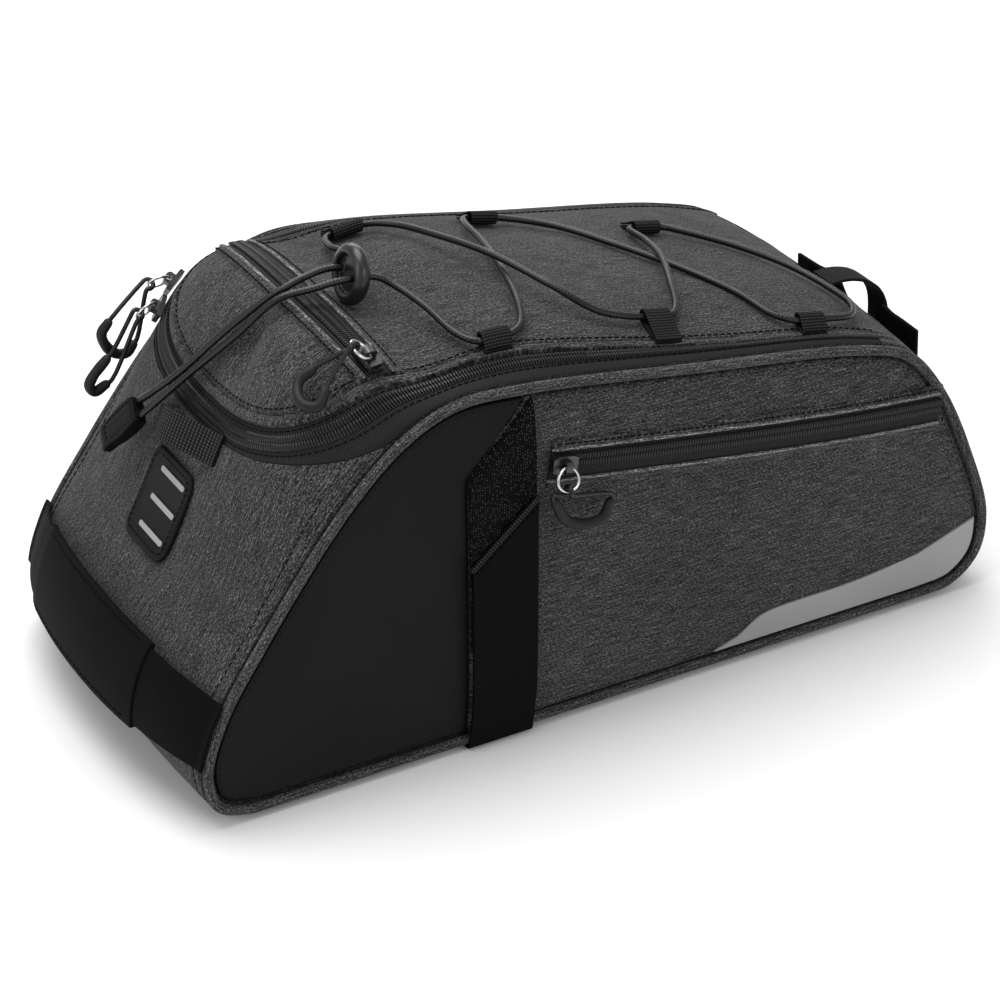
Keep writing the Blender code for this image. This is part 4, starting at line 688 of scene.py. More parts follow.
def body_cloth():
    points, faces, uvs, base = [], [], [], 0
    angles = np.linspace(0, pi / 2, 70)
    corner_runs, corner_share = corner(ZIP_TAIL, angles)
    tail_runs = np.concatenate([np.linspace(0, ZIP_TAIL * GIRTH, 90)[:-1], corner_runs])
    inner = np.concatenate([np.zeros(89), corner_share])
    across = 1 - (1 - np.linspace(0, 1, 46)) ** 1.5
    for sign in (-1, 1):
        share = inner[:, None] + (1 - inner[:, None]) * across
        y = sign * HALF * share
        run = np.broadcast_to(tail_runs[:, None], y.shape)
        fade = np.clip((ZIP_TAIL * GIRTH - run) / 0.02, 0, 1) * np.clip(run / 0.03, 0, 1)
        rise = seam_dip(y, run) + cloth_height(run, y, 1.7) * fade
        if sign == 1:
            rise = np.where(inner[:, None] > 0.999, 0, rise)
        grid = wrap(run, y, rise)
        quads = grid_quads(*grid.shape[:2], base)
        points.append(grid.reshape(-1, 3))
        uvs.append(np.stack([run, y], -1).reshape(-1, 2))
        faces += list(outward(np.vstack(points), quads, np.array([0, 0, 0.07])))
        base += grid.shape[0] * grid.shape[1]
        saddle = np.concatenate([[LID_HINGE * GIRTH, LID_HINGE * GIRTH + 0.003], np.linspace(LID_HINGE * GIRTH + 0.006, GIRTH, 200)])
        y = sign * HALF * np.broadcast_to(across, (len(saddle), len(across)))
        run = np.broadcast_to(saddle[:, None], y.shape)
        fade = np.clip((run - LID_HINGE * GIRTH) / 0.02, 0, 1) * np.clip((0.68 * GIRTH - run) / 0.03, 0, 1)
        grid = wrap(run, y, seam_dip(y, run) + cloth_height(run, y, 5.2) * fade)
        quads = grid_quads(*grid.shape[:2], base)
        points.append(grid.reshape(-1, 3))
        uvs.append(np.stack([run, y], -1).reshape(-1, 2))
        faces += list(outward(np.vstack(points), quads, np.array([0, 0, 0.07])))
        base += grid.shape[0] * grid.shape[1]
        rim = outline(np.linspace(0, GIRTH, 300, endpoint=False))
        middle = np.array([side_x(SIDE_CENTRE[0]), side_z(SIDE_CENTRE[1])])
        flat = [middle + (rim - middle) * share for share in (1.0, 0.6, 0.2)]
        rows = np.array([np.stack([f[:, 0], sign * HALF * narrowing(f[:, 0]), f[:, 1]], -1) for f in flat])
        quads = grid_quads(3, 300, base, True)
        points.append(rows.reshape(-1, 3))
        uvs.append(np.stack([rows[..., 0], rows[..., 2]], -1).reshape(-1, 2))
        faces += list(outward(np.vstack(points), quads, np.array([0, 0, 0.07])))
        faces.append(tuple(base + 600 + k for k in range(300)))
        base += 900
    made = piece("body_cloth", np.vstack(points), faces, np.vstack(uvs), HEATHER, ["body_shell"])
    return made


def lid_cloth():
    """The lid with its bound edge, its dent and the soft rise between the seams."""
    angles = np.linspace(-pi / 2, pi / 2, 181)
    start_runs, share = corner(LID_TAIL, angles)
    end_run = LID_HINGE * GIRTH - 2 * GAP
    along = np.linspace(0, 1, 190)[:, None] ** 1.35
    runs = start_runs + (end_run - start_runs) * along
    y = share * lid_half(runs)
    flat = np.stack([runs, y], -1)
    rim = np.vstack([flat[:, 0], flat[0], flat[:, -1]])
    gap = np.full(runs.shape, 1.0)
    for part in np.array_split(rim, 12):
        far = np.sqrt(((flat[:, :, None] - part[None, None]) ** 2).sum(-1)).min(-1)
        gap = np.minimum(gap, far)
    bound = 0.0040
    ridge = 0.0007 * np.clip(1 - ((gap - bound * 0.45) / (bound * 0.5)) ** 2, 0, 1)
    groove = 0.0011 * np.exp(-((gap - bound) / 0.00055) ** 2)
    inside = np.clip((gap - bound) / 0.02, 0, 1)
    soft = inside * (0.0007 * soft_noise(runs, y, 8.3, 24) + 0.0003 * soft_noise(runs, y, 2.4, 75))
    pocket = LID_POCKET_RUN * GIRTH
    flatten = 1 - np.exp(-((runs - pocket) / 0.012) ** 2)
    rise = ridge - groove + soft * flatten
    rise = np.where(gap < 1e-6, -0.0004, rise)
    outer, inner = wrap(runs, y, rise), wrap(runs, y, -WALL)
    made = slab("lid_cloth", outer, inner, flat, HEATHER, ["lid"], bevel=0)
    for offset in (bound + 0.0016,):
        angle = np.linspace(-pi / 2, pi / 2, 300)
        start, part = corner(LID_TAIL + offset / GIRTH, angle)
        tail_line = np.stack([start, part * (lid_half(start) - offset)], -1)
        side_runs = np.linspace(CORNER_END * GIRTH, end_run - 0.01, 150)[1:]
        near = np.stack([side_runs, -(lid_half(side_runs) - offset)], -1)
        far = np.stack([side_runs, lid_half(side_runs) - offset], -1)
        line = np.vstack([near[::-1], tail_line, far])
        stitch_wrap(line, 0.0, pitch=0.0030, length=0.0021, radius=0.00030)
    return made


# Zips
def zip_point(kind, value, sign, share, height):
    value = abs(value)
    if kind == "corner":
        low_run, low_y = corner(ZIP_TAIL, value)
        high_run, high_y = corner(LID_TAIL, value)
        low_y, high_y = low_y * (HALF - ZIP_SEAM), high_y * lid_half(high_run)
    else:
        low_run = high_run = value
        low_y, high_y = HALF - ZIP_SEAM, lid_half(value)
    if share < 0:
        edge = HALF * (corner(ZIP_TAIL, value)[1] if kind == "corner" else 1) - GAP
        return wrap(low_run, sign * (low_y + (edge - low_y) * -share), height)
    run = low_run + (high_run - low_run) * share
    y = sign * (low_y + (high_y - low_y) * share)
    return wrap(run, y, height - TAPE * 0.6 * share)


def zip_stations():
    side_runs = np.linspace(CORNER_END, LID_HINGE - 0.012, 130)[1:] * GIRTH
    half = [("corner", a) for a in np.linspace(0, pi / 2, 90)] + [("side", run) for run in side_runs]
    return [(kind, -value, -1) for kind, value in half[:0:-1]] + [(kind, value, 1) for kind, value in half]


def zip_rows(shares, heights):
    """Rows of points across the main zip band, at its stations."""
    rows = []
    for kind, value, sign in zip_stations():
        rows.append([zip_point(kind, value, sign, share, height) for share, height in zip(shares, heights)])
    return np.array(rows)


def resampled(rows, pitch, run):
    """Rows spaced evenly along a line."""
    places = np.arange(pitch / 2, run[-1], pitch)
    flat = rows.reshape(len(rows), -1)
    found = np.stack([np.interp(places, run, flat[:, k]) for k in range(flat.shape[1])], -1)
    return found.reshape(len(places), *rows.shape[1:])


def teeth_parts(rows, ups, pitch, radius):
    """Coil teeth: two rows of small rounded bars that meet at the middle line."""
    run = lengths(rows.mean(1))
    rows, ups = resampled(rows, pitch, run), unit(resampled(ups, pitch, run))
    parts = []
    for index, (row, up) in enumerate(zip(rows, ups)):
        low, high = row[0], row[-1]
        out = up[0]
        for first, last in ((0.02, 0.475), (0.525, 0.98)):
            line = []
            for share, rise in ((0, -0.9), (0.12, 0.15), (0.5, 0.45), (0.88, 0.25), (1, -0.9)):
                place = first + (last - first) * share
                line.append(low + (high - low) * place + out * radius * rise)
            parts.append(tube_parts(line, radius, 5, caps=False))
    return parts


def main_zip():
    shares = (-1, -0.9, -0.5, 0, 0.12, 0.26, 0.30, 0.5, 0.70, 0.74, 0.88, 0.98, 1)
    shape = (-0.0006, 0.0, 0.0002, 0.0002, 0.0002, 0.0004, 0.0002, 0.0001, 0.0002, 0.0004, 0.0002, -0.0001, -0.0002)
    heights = [h - GAP for h in shape]
    outer = zip_rows(shares, heights)
    inner = zip_rows(shares, [-TAPE - GAP] * len(shares))
    run = lengths(outer[:, 7])
    width = np.linalg.norm(outer[:, -1] - outer[:, 0], axis=1)
    uv = np.stack([np.broadcast_to(run[:, None], outer.shape[:2]), width[:, None] * np.array(shares)[None, :]], -1)
    slab("zip_tape_main", outer, inner, uv, ZIP, ["main_zip_tape"], bevel=0.0003)
    base = zip_rows((0.27, 0.73), (0.0007, 0.0007))
    high = zip_rows((0.27, 0.73), (0.0027, 0.0027))
    many("zip_teeth_main", teeth_parts(base, high - base, 0.00125, 0.00052), TEETH, ["main_zip_coil"])
    for share in (0.13, 0.86):
        line = zip_rows((share,), (0.0001,))[:, 0]
        lifted = zip_rows((share,), (0.0021,))[:, 0]
        STITCHES.extend(stitch_parts(line, unit(lifted - line), pitch=0.0029, length=0.0020, radius=0.00022))


def zip_ends():
    """The cloth beside the lid between the zip's end and the hinge."""
    for label, sign in (("near", -1), ("far", 1)):
        runs = np.linspace(LID_HINGE - 0.0135, LID_HINGE + 0.002, 14)[:, None] * GIRTH
        share = np.linspace(0, 1, 7)[None, :]
        low = lid_half(runs) + 2 * GAP
        y = sign * (low + (HALF - GAP - low) * share)
        runs = np.broadcast_to(runs, y.shape)
        outer, inner = wrap(runs, y, 0.0004 - 0.0010 * share**4), wrap(runs, y, -0.0014)
        slab(f"zip_end_{label}", outer, inner, np.stack([runs, y], -1), HEATHER, bevel=0.0002)


def strip_wrap(name, run, half, width, profile, finish, nodes, count=90, under=None):
    """A strip across the lid; the profile gives place across its width and height."""
    ys = np.linspace(-half, half, count)
    grid = np.array([[wrap(run + width * u, y, h) for u, h in profile] for y in ys])
    below = under if under is not None else min(h for _, h in profile) - 0.0006
    inner = np.array([[wrap(run + width * u, y, below) for u, _ in profile] for y in ys])
    uv = np.array([[(width * u, y) for u, _ in profile] for y in ys])
    return slab(name, grid, inner, uv, finish, nodes, bevel=0.0003)


def lid_pocket():
    run, stand = LID_POCKET_RUN * GIRTH, LID_POCKET_STAND
    profile = [(u, stand + 0.0006 + 0.0001 * cos(u * tau)) for u in np.linspace(-0.5, 0.5, 7)]
    strip_wrap("lid_pocket_tape_cloth", run, LID_POCKET_HALF, LID_POCKET_OPEN, profile, ZIP, ["lid_pocket_tape"])
    ys = np.linspace(-(LID_POCKET_HALF - 0.001), LID_POCKET_HALF - 0.001, 90)
    half = COIL_WIDTH * 0.42
    base = np.array([[wrap(run + edge, y, stand + 0.0014) for edge in (-half, half)] for y in ys])
    high = np.array([[wrap(run + edge, y, stand + 0.0034) for edge in (-half, half)] for y in ys])
    many("lid_pocket_teeth", teeth_parts(base, high - base, 0.00125, 0.00048), TEETH, ["lid_pocket_coil"])
    for name, sign in (("tail", -1), ("saddle", 1)):
        place = run + sign * (LID_POCKET_OPEN / 2 + WELT / 2 + GAP)
        fold = []
        for u in np.linspace(-0.5, 0.5, 9):
            near = 0.5 - sign * u
            fold.append((u, (stand + 0.0016) * max(0.0, 1 - (1 - near) ** 2.0) ** 0.9 - 0.0003))
        strip_wrap(
            f"lid_pocket_fold_{name}", place, LID_POCKET_HALF, WELT, fold, HEATHER,
            [f"lid_pocket_welt_{name}"], under=-0.0010
        )
        edge = place - sign * (WELT / 2 + 0.0002)
        # A thin ridge in much lighter cloth: a painted highlight along the pocket's fold edge.
        tube(f"lid_pocket_highlight_edge_{name}", wrap(edge, np.linspace(-LID_POCKET_HALF, LID_POCKET_HALF, 90), stand + 0.0013), 0.0007, FOLD_HIGHLIGHT_CLOTH, sides=10)
        line = np.array([(place + sign * 0.0002, y) for y in ys])
        stitch_wrap(line, stand + 0.0008, pitch=0.0029, length=0.0021, radius=0.00032)


def side_path(points, count):
    places = smooth_curve([(side_x(x), side_z(z)) for x, z in points], 24)
    run = lengths(places)
    want = np.linspace(0, run[-1], count)
    return np.stack([np.interp(want, run, places[:, k]) for k in (0, 1)], -1)


def side_strip(name, path, profile, finish, nodes, low=0.0, sign=-1):
    """A strip along a line on a side; the profile gives offset above the line and height."""
    along = unit(np.gradient(path, axis=0))
    up = np.stack([-along[:, 1], along[:, 0]], -1)
    outer = np.stack([side(*(path + up * edge).T, height, sign) for edge, height in profile], 1)
    inner = np.stack([side(*(path + up * edge).T, low, sign) for edge, _ in profile], 1)
    run = lengths(path)
    uv = np.stack(np.broadcast_arrays(run[:, None], np.array([e for e, _ in profile])[None, :]), -1)
    return slab(name, outer, inner, uv, finish, nodes, bevel=0.0003)


def side_pocket():
    path = side_path(SIDE_ZIP + (POCKET_END,), 156)
    half = SIDE_POCKET_OPEN / 2
    low = GAP * 0.4
    tape = [(u * half, low + 0.0006 + 0.0001 * cos(u * pi)) for u in np.linspace(-1, 1, 11)]
    side_strip("side_pocket_tape_cloth", path, tape, ZIP, ["side_pocket_tape"], 0.0)
    along = unit(np.gradient(path, axis=0))
    up = np.stack([-along[:, 1], along[:, 0]], -1)
    middle = half * 0.2
    edges = (middle - COIL_WIDTH / 2, middle + COIL_WIDTH / 2)
    base = np.stack([side(*(path + up * edge).T, 0.0018) for edge in edges], 1)
    high = np.stack([side(*(path + up * edge).T, 0.0038) for edge in edges], 1)
    many("side_pocket_teeth", teeth_parts(base, high - base, 0.00125, 0.00050), TEETH, ["side_pocket_coil"])
    upper, lower = [], []
    for share in np.linspace(0, 1, 9):
        bulge = 1 - (1 - share) ** 2.2
        upper.append((half + GAP + WELT * share, 0.0001 + 0.0019 * (1 - share**2.4) ** 0.6))
        lower.append((-half - GAP - WELT * share, 0.0001 + 0.0012 * (1 - share**2.4) ** 0.6))
    side_strip("side_pocket_fold_upper", path, upper, HEATHER, ["side_pocket_welt_upper"], -0.0004)
    side_strip("side_pocket_fold_lower", path, lower, HEATHER, ["side_pocket_welt_lower"], -0.0004)
    # Thin ridges in much lighter cloth: painted highlights along the pocket's fold edges.
    for label, edge, height in (("upper", half + GAP - 0.0002, 0.0018), ("lower", -half - GAP + 0.0002, 0.0012)):
        line = path + up * edge
        tube(f"side_pocket_highlight_edge_{label}", side(line[:, 0], line[:, 1], height), 0.0007, FOLD_HIGHLIGHT_CLOTH, sides=10)
    stitch_side(path + up * (half + GAP + 0.0018), 0.0016, pitch=0.0030, length=0.0022, radius=0.00032)


# Side panels
def top_run_at(x):
    runs = np.linspace(ZIP_TAIL * GIRTH * 0.8, 0.62 * GIRTH, 800)
    return np.interp(x, outline(runs)[:, 0], runs)


def base_run_at(x):
    runs = np.linspace(GIRTH, GIRTH * 0.68, 400)
    return np.interp(x, outline(runs)[:, 0], runs)


def even(points, count):
    """Points spaced evenly along an open line."""
    points = np.asarray(points, float)
    run = lengths(points)
    want = np.linspace(0, run[-1], count)
    return np.stack([np.interp(want, run, points[:, k]) for k in range(points.shape[1])], -1)


def panel_shapes():
    """The outlines of the smooth panel at the tail and the cloth panel behind it."""
    low_x, high_x = strap_edges()
    notch = np.array([low_x, side_z(PU_NOTCH[0])])
    tip = np.array([high_x - 0.003, side_z(PU_NOTCH[1])])
    runs = np.linspace(0, top_run_at(tip[0]), 160)
    bottom = outline(base_run_at(low_x), PANEL_INSET)
    rim = outline(runs, PANEL_INSET)
    pu = np.vstack([rim, even([rim[-1], notch], 24)[1:], even([notch, bottom], 50)[1:], even([bottom, rim[0]], 70)[1:-1]])
    runs = np.linspace(top_run_at(tip[0] + 6 * GAP), base_run_at(low_x + 3 * GAP), 260)
    rim = outline(runs, PANEL_INSET)
    knee = np.array([low_x + 3 * GAP, notch[1] - GAP])
    foot = np.array([low_x + 3 * GAP, rim[-1][1]])
    cloth = np.vstack([rim[:-1], even([foot, knee], 50), even([knee, rim[0]], 24)[1:-1]])
    return pu, cloth


def side_skin(name, shape, sign, finish, nodes, seed, low, lift=0.0, soft=0.0, roll=0.0011, middle=None):
    """A panel on a side as rings from its rim to its middle, rolled down at its rim."""
    if middle is None:
        middle = shape.mean(0)
    shares = np.concatenate([[1.0, 1.0, 0.9985, 0.995, 0.988, 0.978], np.linspace(0.962, 0.008, 38)])
    drops = np.concatenate([[None, -roll, -roll * 0.62, -roll * 0.3, -roll * 0.1, 0.0], np.zeros(38)])
    rows, uvs = [], []
    for index, share in enumerate(shares):
        ring = middle + (shape - middle) * share
        if index == 0:
            rows.append(np.stack([ring[:, 0], sign * (HALF * narrowing(ring[:, 0]) + GAP), ring[:, 1]], -1) if low is None
                        else side(ring[:, 0], ring[:, 1], low, sign))
        else:
            bump = soft * soft_noise(ring[:, 0], ring[:, 1], seed, 22) * min(1.0, (1 - share) * 7)
            rows.append(side(ring[:, 0], ring[:, 1], lift + float(drops[index]) + bump, sign))
        uvs.append(ring)
    rows, uvs = np.array(rows), np.array(uvs)
    quads = outward(rows.reshape(-1, 3), grid_quads(len(shares), len(shape), 0, True), np.array([0, 0, 0.07]))
    last = (len(shares) - 1) * len(shape)
    cap = tuple(last + k for k in range(len(shape)))
    made = piece(name, rows, list(quads) + [cap], uvs, finish, nodes, sharp=60)
    return made


def side_panels():
    pu, cloth = panel_shapes()
    heart = np.array([side_x(PU_HEART[0]), side_z(PU_HEART[1])])
    for label, sign in (("near", -1), ("far", 1)):
        made = side_skin(f"pu_side_{label}", pu, sign, PU, [f"pu_panel_{label}"], 3.0 + sign, None, middle=heart)
        made = side_skin(f"cloth_side_{label}", cloth, sign, HEATHER, [f"side_cloth_{label}"], 6.0 + sign, None, soft=0.0006)
    top = np.array([(side_x(x), side_z(z)) for x, z in PATCH_EDGE])
    runs = np.linspace(0.5 * GIRTH, GIRTH, 3000)
    rim = outline(runs, PANEL_INSET + 4 * GAP)
    first = int(np.argmin(np.linalg.norm(rim - top[-1], axis=1)))
    last = int(np.argmin(np.linalg.norm(rim - top[0], axis=1)))
    edge = smooth_curve(top[1:-1], 10)
    shape = np.vstack([even(edge, 60), rim[first:last:9]])
    side_skin("light_strip_side", shape, -1, GREY, ["reflective_patch_near"], 2.0, 0.0, lift=GAP + PATCH_SKIN, roll=0.0004)


def piping():
    runs = np.linspace(0, GIRTH, 520, endpoint=False)
    for label, sign in (("near", -1), ("far", 1)):
        flat = outline(runs, PIPING_RADIUS)
        path = np.stack([flat[:, 0], sign * (HALF * narrowing(flat[:, 0]) + PIPING_OUT), flat[:, 1]], -1)
        points, faces, uv = tube_parts(path, PIPING_RADIUS, 14, closed=True)
        # The piping's lighter cloth is a painted highlight along its round top.
        made = piece(f"piping_cloth_{label}", points, faces, uv, PIPING_HIGHLIGHT_CLOTH, [f"piping_{label}"], sharp=80)
        fix_normals(made)
        inner = outline(runs, PANEL_INSET + 0.0016)
        keep = side(inner[:, 0], inner[:, 1], 0.0, sign)
        out = np.broadcast_to(np.array([0.0, sign, 0.0]), keep.shape)
        STITCHES.extend(stitch_parts(keep, out, pitch=0.0034, length=0.0023, radius=0.00022, lift=-0.0002))
        line = np.array([(run, sign * (HALF - 0.0052)) for run in np.linspace(0.01, ZIP_TAIL * GIRTH + 0.012, 200)])
        stitch_wrap(line, -0.0003, pitch=0.0032, length=0.0022, radius=0.00020)


# Straps
def strap_face(top, bottom, height, slant, sign, thick, columns):
    low_x, high_x = strap_edges()
    grids = []
    for rise in (height + thick, height):
        rows = []
        for share in np.linspace(0, 1, 60):
            row = []
            for u in columns:
                level = (top + slant * u) * (1 - share) + bottom * share
                row.append(side(low_x + (high_x - low_x) * u, level, rise, sign))
            rows.append(row)
        grids.append(np.array(rows))
    return grids


def strap_uv(grid):
    run = lengths(grid[:, grid.shape[1] // 2])
    across = lengths(grid[grid.shape[0] // 2])
    return np.stack(np.broadcast_arrays(run[:, None], across[None, :]), -1)


COLUMNS = np.array([0, 0.02, 0.06, 0.2, 0.35, 0.5, 0.65, 0.8, 0.94, 0.98, 1.0])


def hook_straps():
    low_x, high_x = strap_edges()
    for label, sign in (("near", -1), ("far", 1)):
        shares = np.concatenate([np.linspace(0, 0.12, 14), np.linspace(0.12, 1, 46)[1:]])
        grids = []
        for thick in (WEBBING, 0.0):
            rows = []
            for share in shares:
                rise = HOOK_STAND * (1 - np.exp(-share / 0.035)) + thick * (1 - 0.85 * np.exp(-share / 0.012))
                row = []
                for u in COLUMNS:
                    top = side_z(PU_NOTCH[0] + (PU_NOTCH[1] - PU_NOTCH[0]) * 1.09 * u) - 0.0001
                    row.append(side(low_x + (high_x - low_x) * u, top * (1 - share) + side_z(0.30) * share, rise, sign))
                rows.append(row)
            grids.append(np.array(rows))
        outer, inner = grids
        slab(f"hook_webbing_{label}", outer, inner, strap_uv(outer), HOOK_WEB, [f"hook_strap_{label}"])


def strap_path(x, top):
    height = HOOK_STAND + WEBBING + 2 * GAP
    levels = side_z(np.linspace(top, 0.12, 60))
    path = [(side(x, level, height, 1)[1], level) for level in levels]
    foot = HALF * narrowing(x) + PIPING_OUT + PIPING_RADIUS + 2 * GAP
    turn = STRAP_TURN
    path.append((foot + GAP, WEBBING + 2.6 * turn))
    for angle in np.linspace(0, pi / 2, 8):
        path.append((foot - turn + turn * cos(angle), WEBBING + turn - turn * sin(angle)))
    path += [(share * (foot - turn), WEBBING) for share in (0.8, 0.6, 0.4, 0.2)]
    return path


def rack_strap():
    low_x, high_x = strap_edges()
    edges = []
    for u in COLUMNS:
        x, top = low_x + (high_x - low_x) * u, STRAP_TOP + STRAP_SLANT * u
        half = strap_path(x, top)
        whole = np.array([(-y, z) for y, z in half] + half[::-1])
        along = unit(np.gradient(whole, axis=0))
        out = np.stack([along[:, 1], -along[:, 0]], -1)
        faces = [whole + out * rise for rise in (WEBBING, 0.0)]
        edges.append([np.stack([np.full(len(face), x), face[:, 0], face[:, 1]], -1) for face in faces])
    outer, inner = (np.stack([edge[k] for edge in edges], 1) for k in (0, 1))
    slab("rack_strap_webbing", outer, inner, strap_uv(outer), WEB, ["rack_strap"])
    height = HOOK_STAND + 2 * WEBBING + 2 * GAP
    for sign in (-1, 1):
        fold, hem = [], []
        for u in np.linspace(0.0, 1.0, 40):
            x = low_x + (high_x - low_x) * u
            z = side_z(STRAP_TOP + STRAP_SLANT * u)
            fold.append(side(x, z - 0.0010, height - 0.0003, sign))
            hem.append((x, z - 0.0042))
        tube(f"strap_fold_{'near' if sign < 0 else 'far'}", fold, 0.0010, EDGE_WEB, sides=10)
        stitch_side(np.array(hem), height, sign, pitch=0.0026, length=0.0019, radius=0.00024)


def ribbon_over(name, run, places, width, thickness, finish, nodes, bevel=0.0005, edge_stitch=None):
    places = even(smooth_curve(places, 8), 90)
    along = unit(np.gradient(places, axis=0))
    normal = np.stack([-along[:, 1], along[:, 0]], -1)
    if normal[:, 1].sum() < 0:
        normal = -normal
    shares = np.array([-0.5, -0.485, -0.44, -0.3, -0.15, 0, 0.15, 0.3, 0.44, 0.485, 0.5])
    grids = []
    for rise in (thickness, 0.0):
        rows = places + normal * rise
        grids.append(np.array([[wrap_free(run + width * s, y, h) for s in shares] for y, h in rows]))
    made = slab(name, grids[0], grids[1], strap_uv(grids[0]), finish, nodes, bevel=bevel)
    if edge_stitch:
        for column in (2, 8):
            line, low = grids[0][:, column], grids[1][:, column]
            keep = slice(4, -4)
            STITCHES.extend(stitch_parts(line[keep], unit(line - low)[keep], pitch=0.0036, length=0.0026, radius=0.00026))
    return made


def tail_handle():
    run = HANDLE_RUN
    ys = np.linspace(-HANDLE_HALF, HANDLE_HALF, 31)
    low, high = HANDLE_STAND
    face, ends = wrap(run, 0), wrap(run, HANDLE_HALF + GAP)
    sag = np.hypot(face[0] - ends[0], face[2] - ends[2])
    places = []
    for y in ys:
        share = 1 - (y / HANDLE_HALF) ** 2
        here = wrap(run, y + HANDLE_PLACE)
        hollow = sag * share - np.hypot(here[0] - ends[0], here[2] - ends[2])
        places.append((y + HANDLE_PLACE, low + (high - low) * share + max(hollow, 0)))
    ribbon_over("tail_handle_pad", run, places, HANDLE_HEIGHT, HANDLE_THICK, HANDLE_PU, ["tail_handle"], 0.0009, True)
    rise = (HANDLE_THICK - WEBBING) / 2
    for label, sign in (("near", -1), ("far", 1)):
        ys = np.linspace(HANDLE_HALF + sign * HANDLE_PLACE + GAP, HALF - 0.0008, 12)
        share = (ys - ys[0]) / (ys[-1] - ys[0])
        heights = (low + rise) * (1 - share**1.4) + 3 * GAP * share**1.4
        places = [(sign * y, height) for y, height in zip(ys, heights)]
        places.append((sign * (HALF + PIPING_OUT + 0.001), 2 * GAP))
        ribbon_over(f"handle_end_{label}", run, places, HANDLE_HEIGHT * 0.9, WEBBING, WEB, [f"handle_webbing_{label}"])


def rounded_plan(long, wide, radius, steps=8):
    shape = []
    for quarter in range(4):
        centre_u = (long / 2 - radius) * (1 if quarter in (0, 3) else -1)
        centre_v = (wide / 2 - radius) * (1 if quarter in (0, 1) else -1)
        for k in range(steps + 1):
            angle = quarter * pi / 2 + (pi / 2) * k / steps
            shape.append((centre_u + radius * cos(angle), centre_v + radius * sin(angle)))
    return np.array(shape)


def wrap_plate(name, run, y, plan, low, thickness, finish, nodes, dome=0.0):
    """A plate on the wrap with a rolled rim."""
    rows = [(1.0, low), (1.0, low + thickness * 0.6), (0.985, low + thickness * 0.9), (0.96, low + thickness)]
    rows += [(s, low + thickness + dome * (1 - s * s)) for s in (0.9, 0.75, 0.6, 0.45, 0.3, 0.15)]
    grid = np.array([[wrap(run + u * s, y + v * s, h) for u, v in plan] for s, h in rows])
    uv = np.array([[(run + u * s, y + v * s) for u, v in plan] for s, _ in rows])
    quads = outward(grid.reshape(-1, 3), grid_quads(len(rows), len(plan), 0, True), wrap(run, y, -0.02))
    last = (len(rows) - 1) * len(plan)
    return piece(name, grid, list(quads) + [tuple(last + k for k in range(len(plan)))], uv, finish, nodes)


def tail_trim():
    run = TAIL_PATCH_RUN * GIRTH
    long, wide = TAIL_PATCH_SIZE
    plan = even(np.vstack([rounded_plan(long, wide, 0.006), rounded_plan(long, wide, 0.006)[:1]]), 121)[:-1]
    wrap_plate("tail_patch_pu", run, 0, plan, TAIL_PATCH_STAND, SKIN, PU, ["tail_patch"])
    seam = rounded_plan(long - 0.005, wide - 0.005, 0.004)
    seam = np.vstack([seam, seam[:1]])
    stitch_wrap(seam + np.array([run, 0]), TAIL_PATCH_STAND + SKIN, pitch=0.0026, length=0.0018, radius=0.0002)
    bar_long, bar_wide, thick = BAR_SIZE
    for index, share in enumerate(BAR_RUNS):
        plan = rounded_plan(bar_wide, bar_long, bar_wide * 0.42, 5)
        plan = even(np.vstack([plan, plan[:1]]), 61)[:-1]
        low = TAIL_PATCH_STAND + SKIN + GAP * 0.2
        wrap_plate(f"light_bar_{index + 1}", share * GIRTH, BAR_PLACE, plan, low, thick, GREY, [f"reflective_bar_{index + 1}"])
    run = LIGHT_LOOP_RUN * GIRTH
    ys = np.linspace(-LIGHT_LOOP_HALF, LIGHT_LOOP_HALF, 61)
    stand = GAP + LIGHT_LOOP_STAND * np.cos(ys / LIGHT_LOOP_HALF * pi / 2) ** 1.6
    shares = np.linspace(-0.5, 0.5, 9)
    grids = []
    for rise in (WEBBING, 0.0):
        grids.append(np.array([[wrap(run + LIGHT_LOOP_TURN * y + LOOP_WIDTH * s, y, h + rise) for s in shares] for y, h in zip(ys, stand)]))
    slab("light_loop_webbing", grids[0], grids[1], strap_uv(grids[0]), LIGHT_WEB, ["light_loop"])
    plan = even(np.vstack([rounded_plan(0.0125, 0.0080, 0.0038), rounded_plan(0.0125, 0.0080, 0.0038)[:1]]), 61)[:-1]
    wrap_plate("light_loop_tab", run - 0.001, 0.0150, plan, GAP, 0.0024, HEATHER, ["light_loop_tongue"])


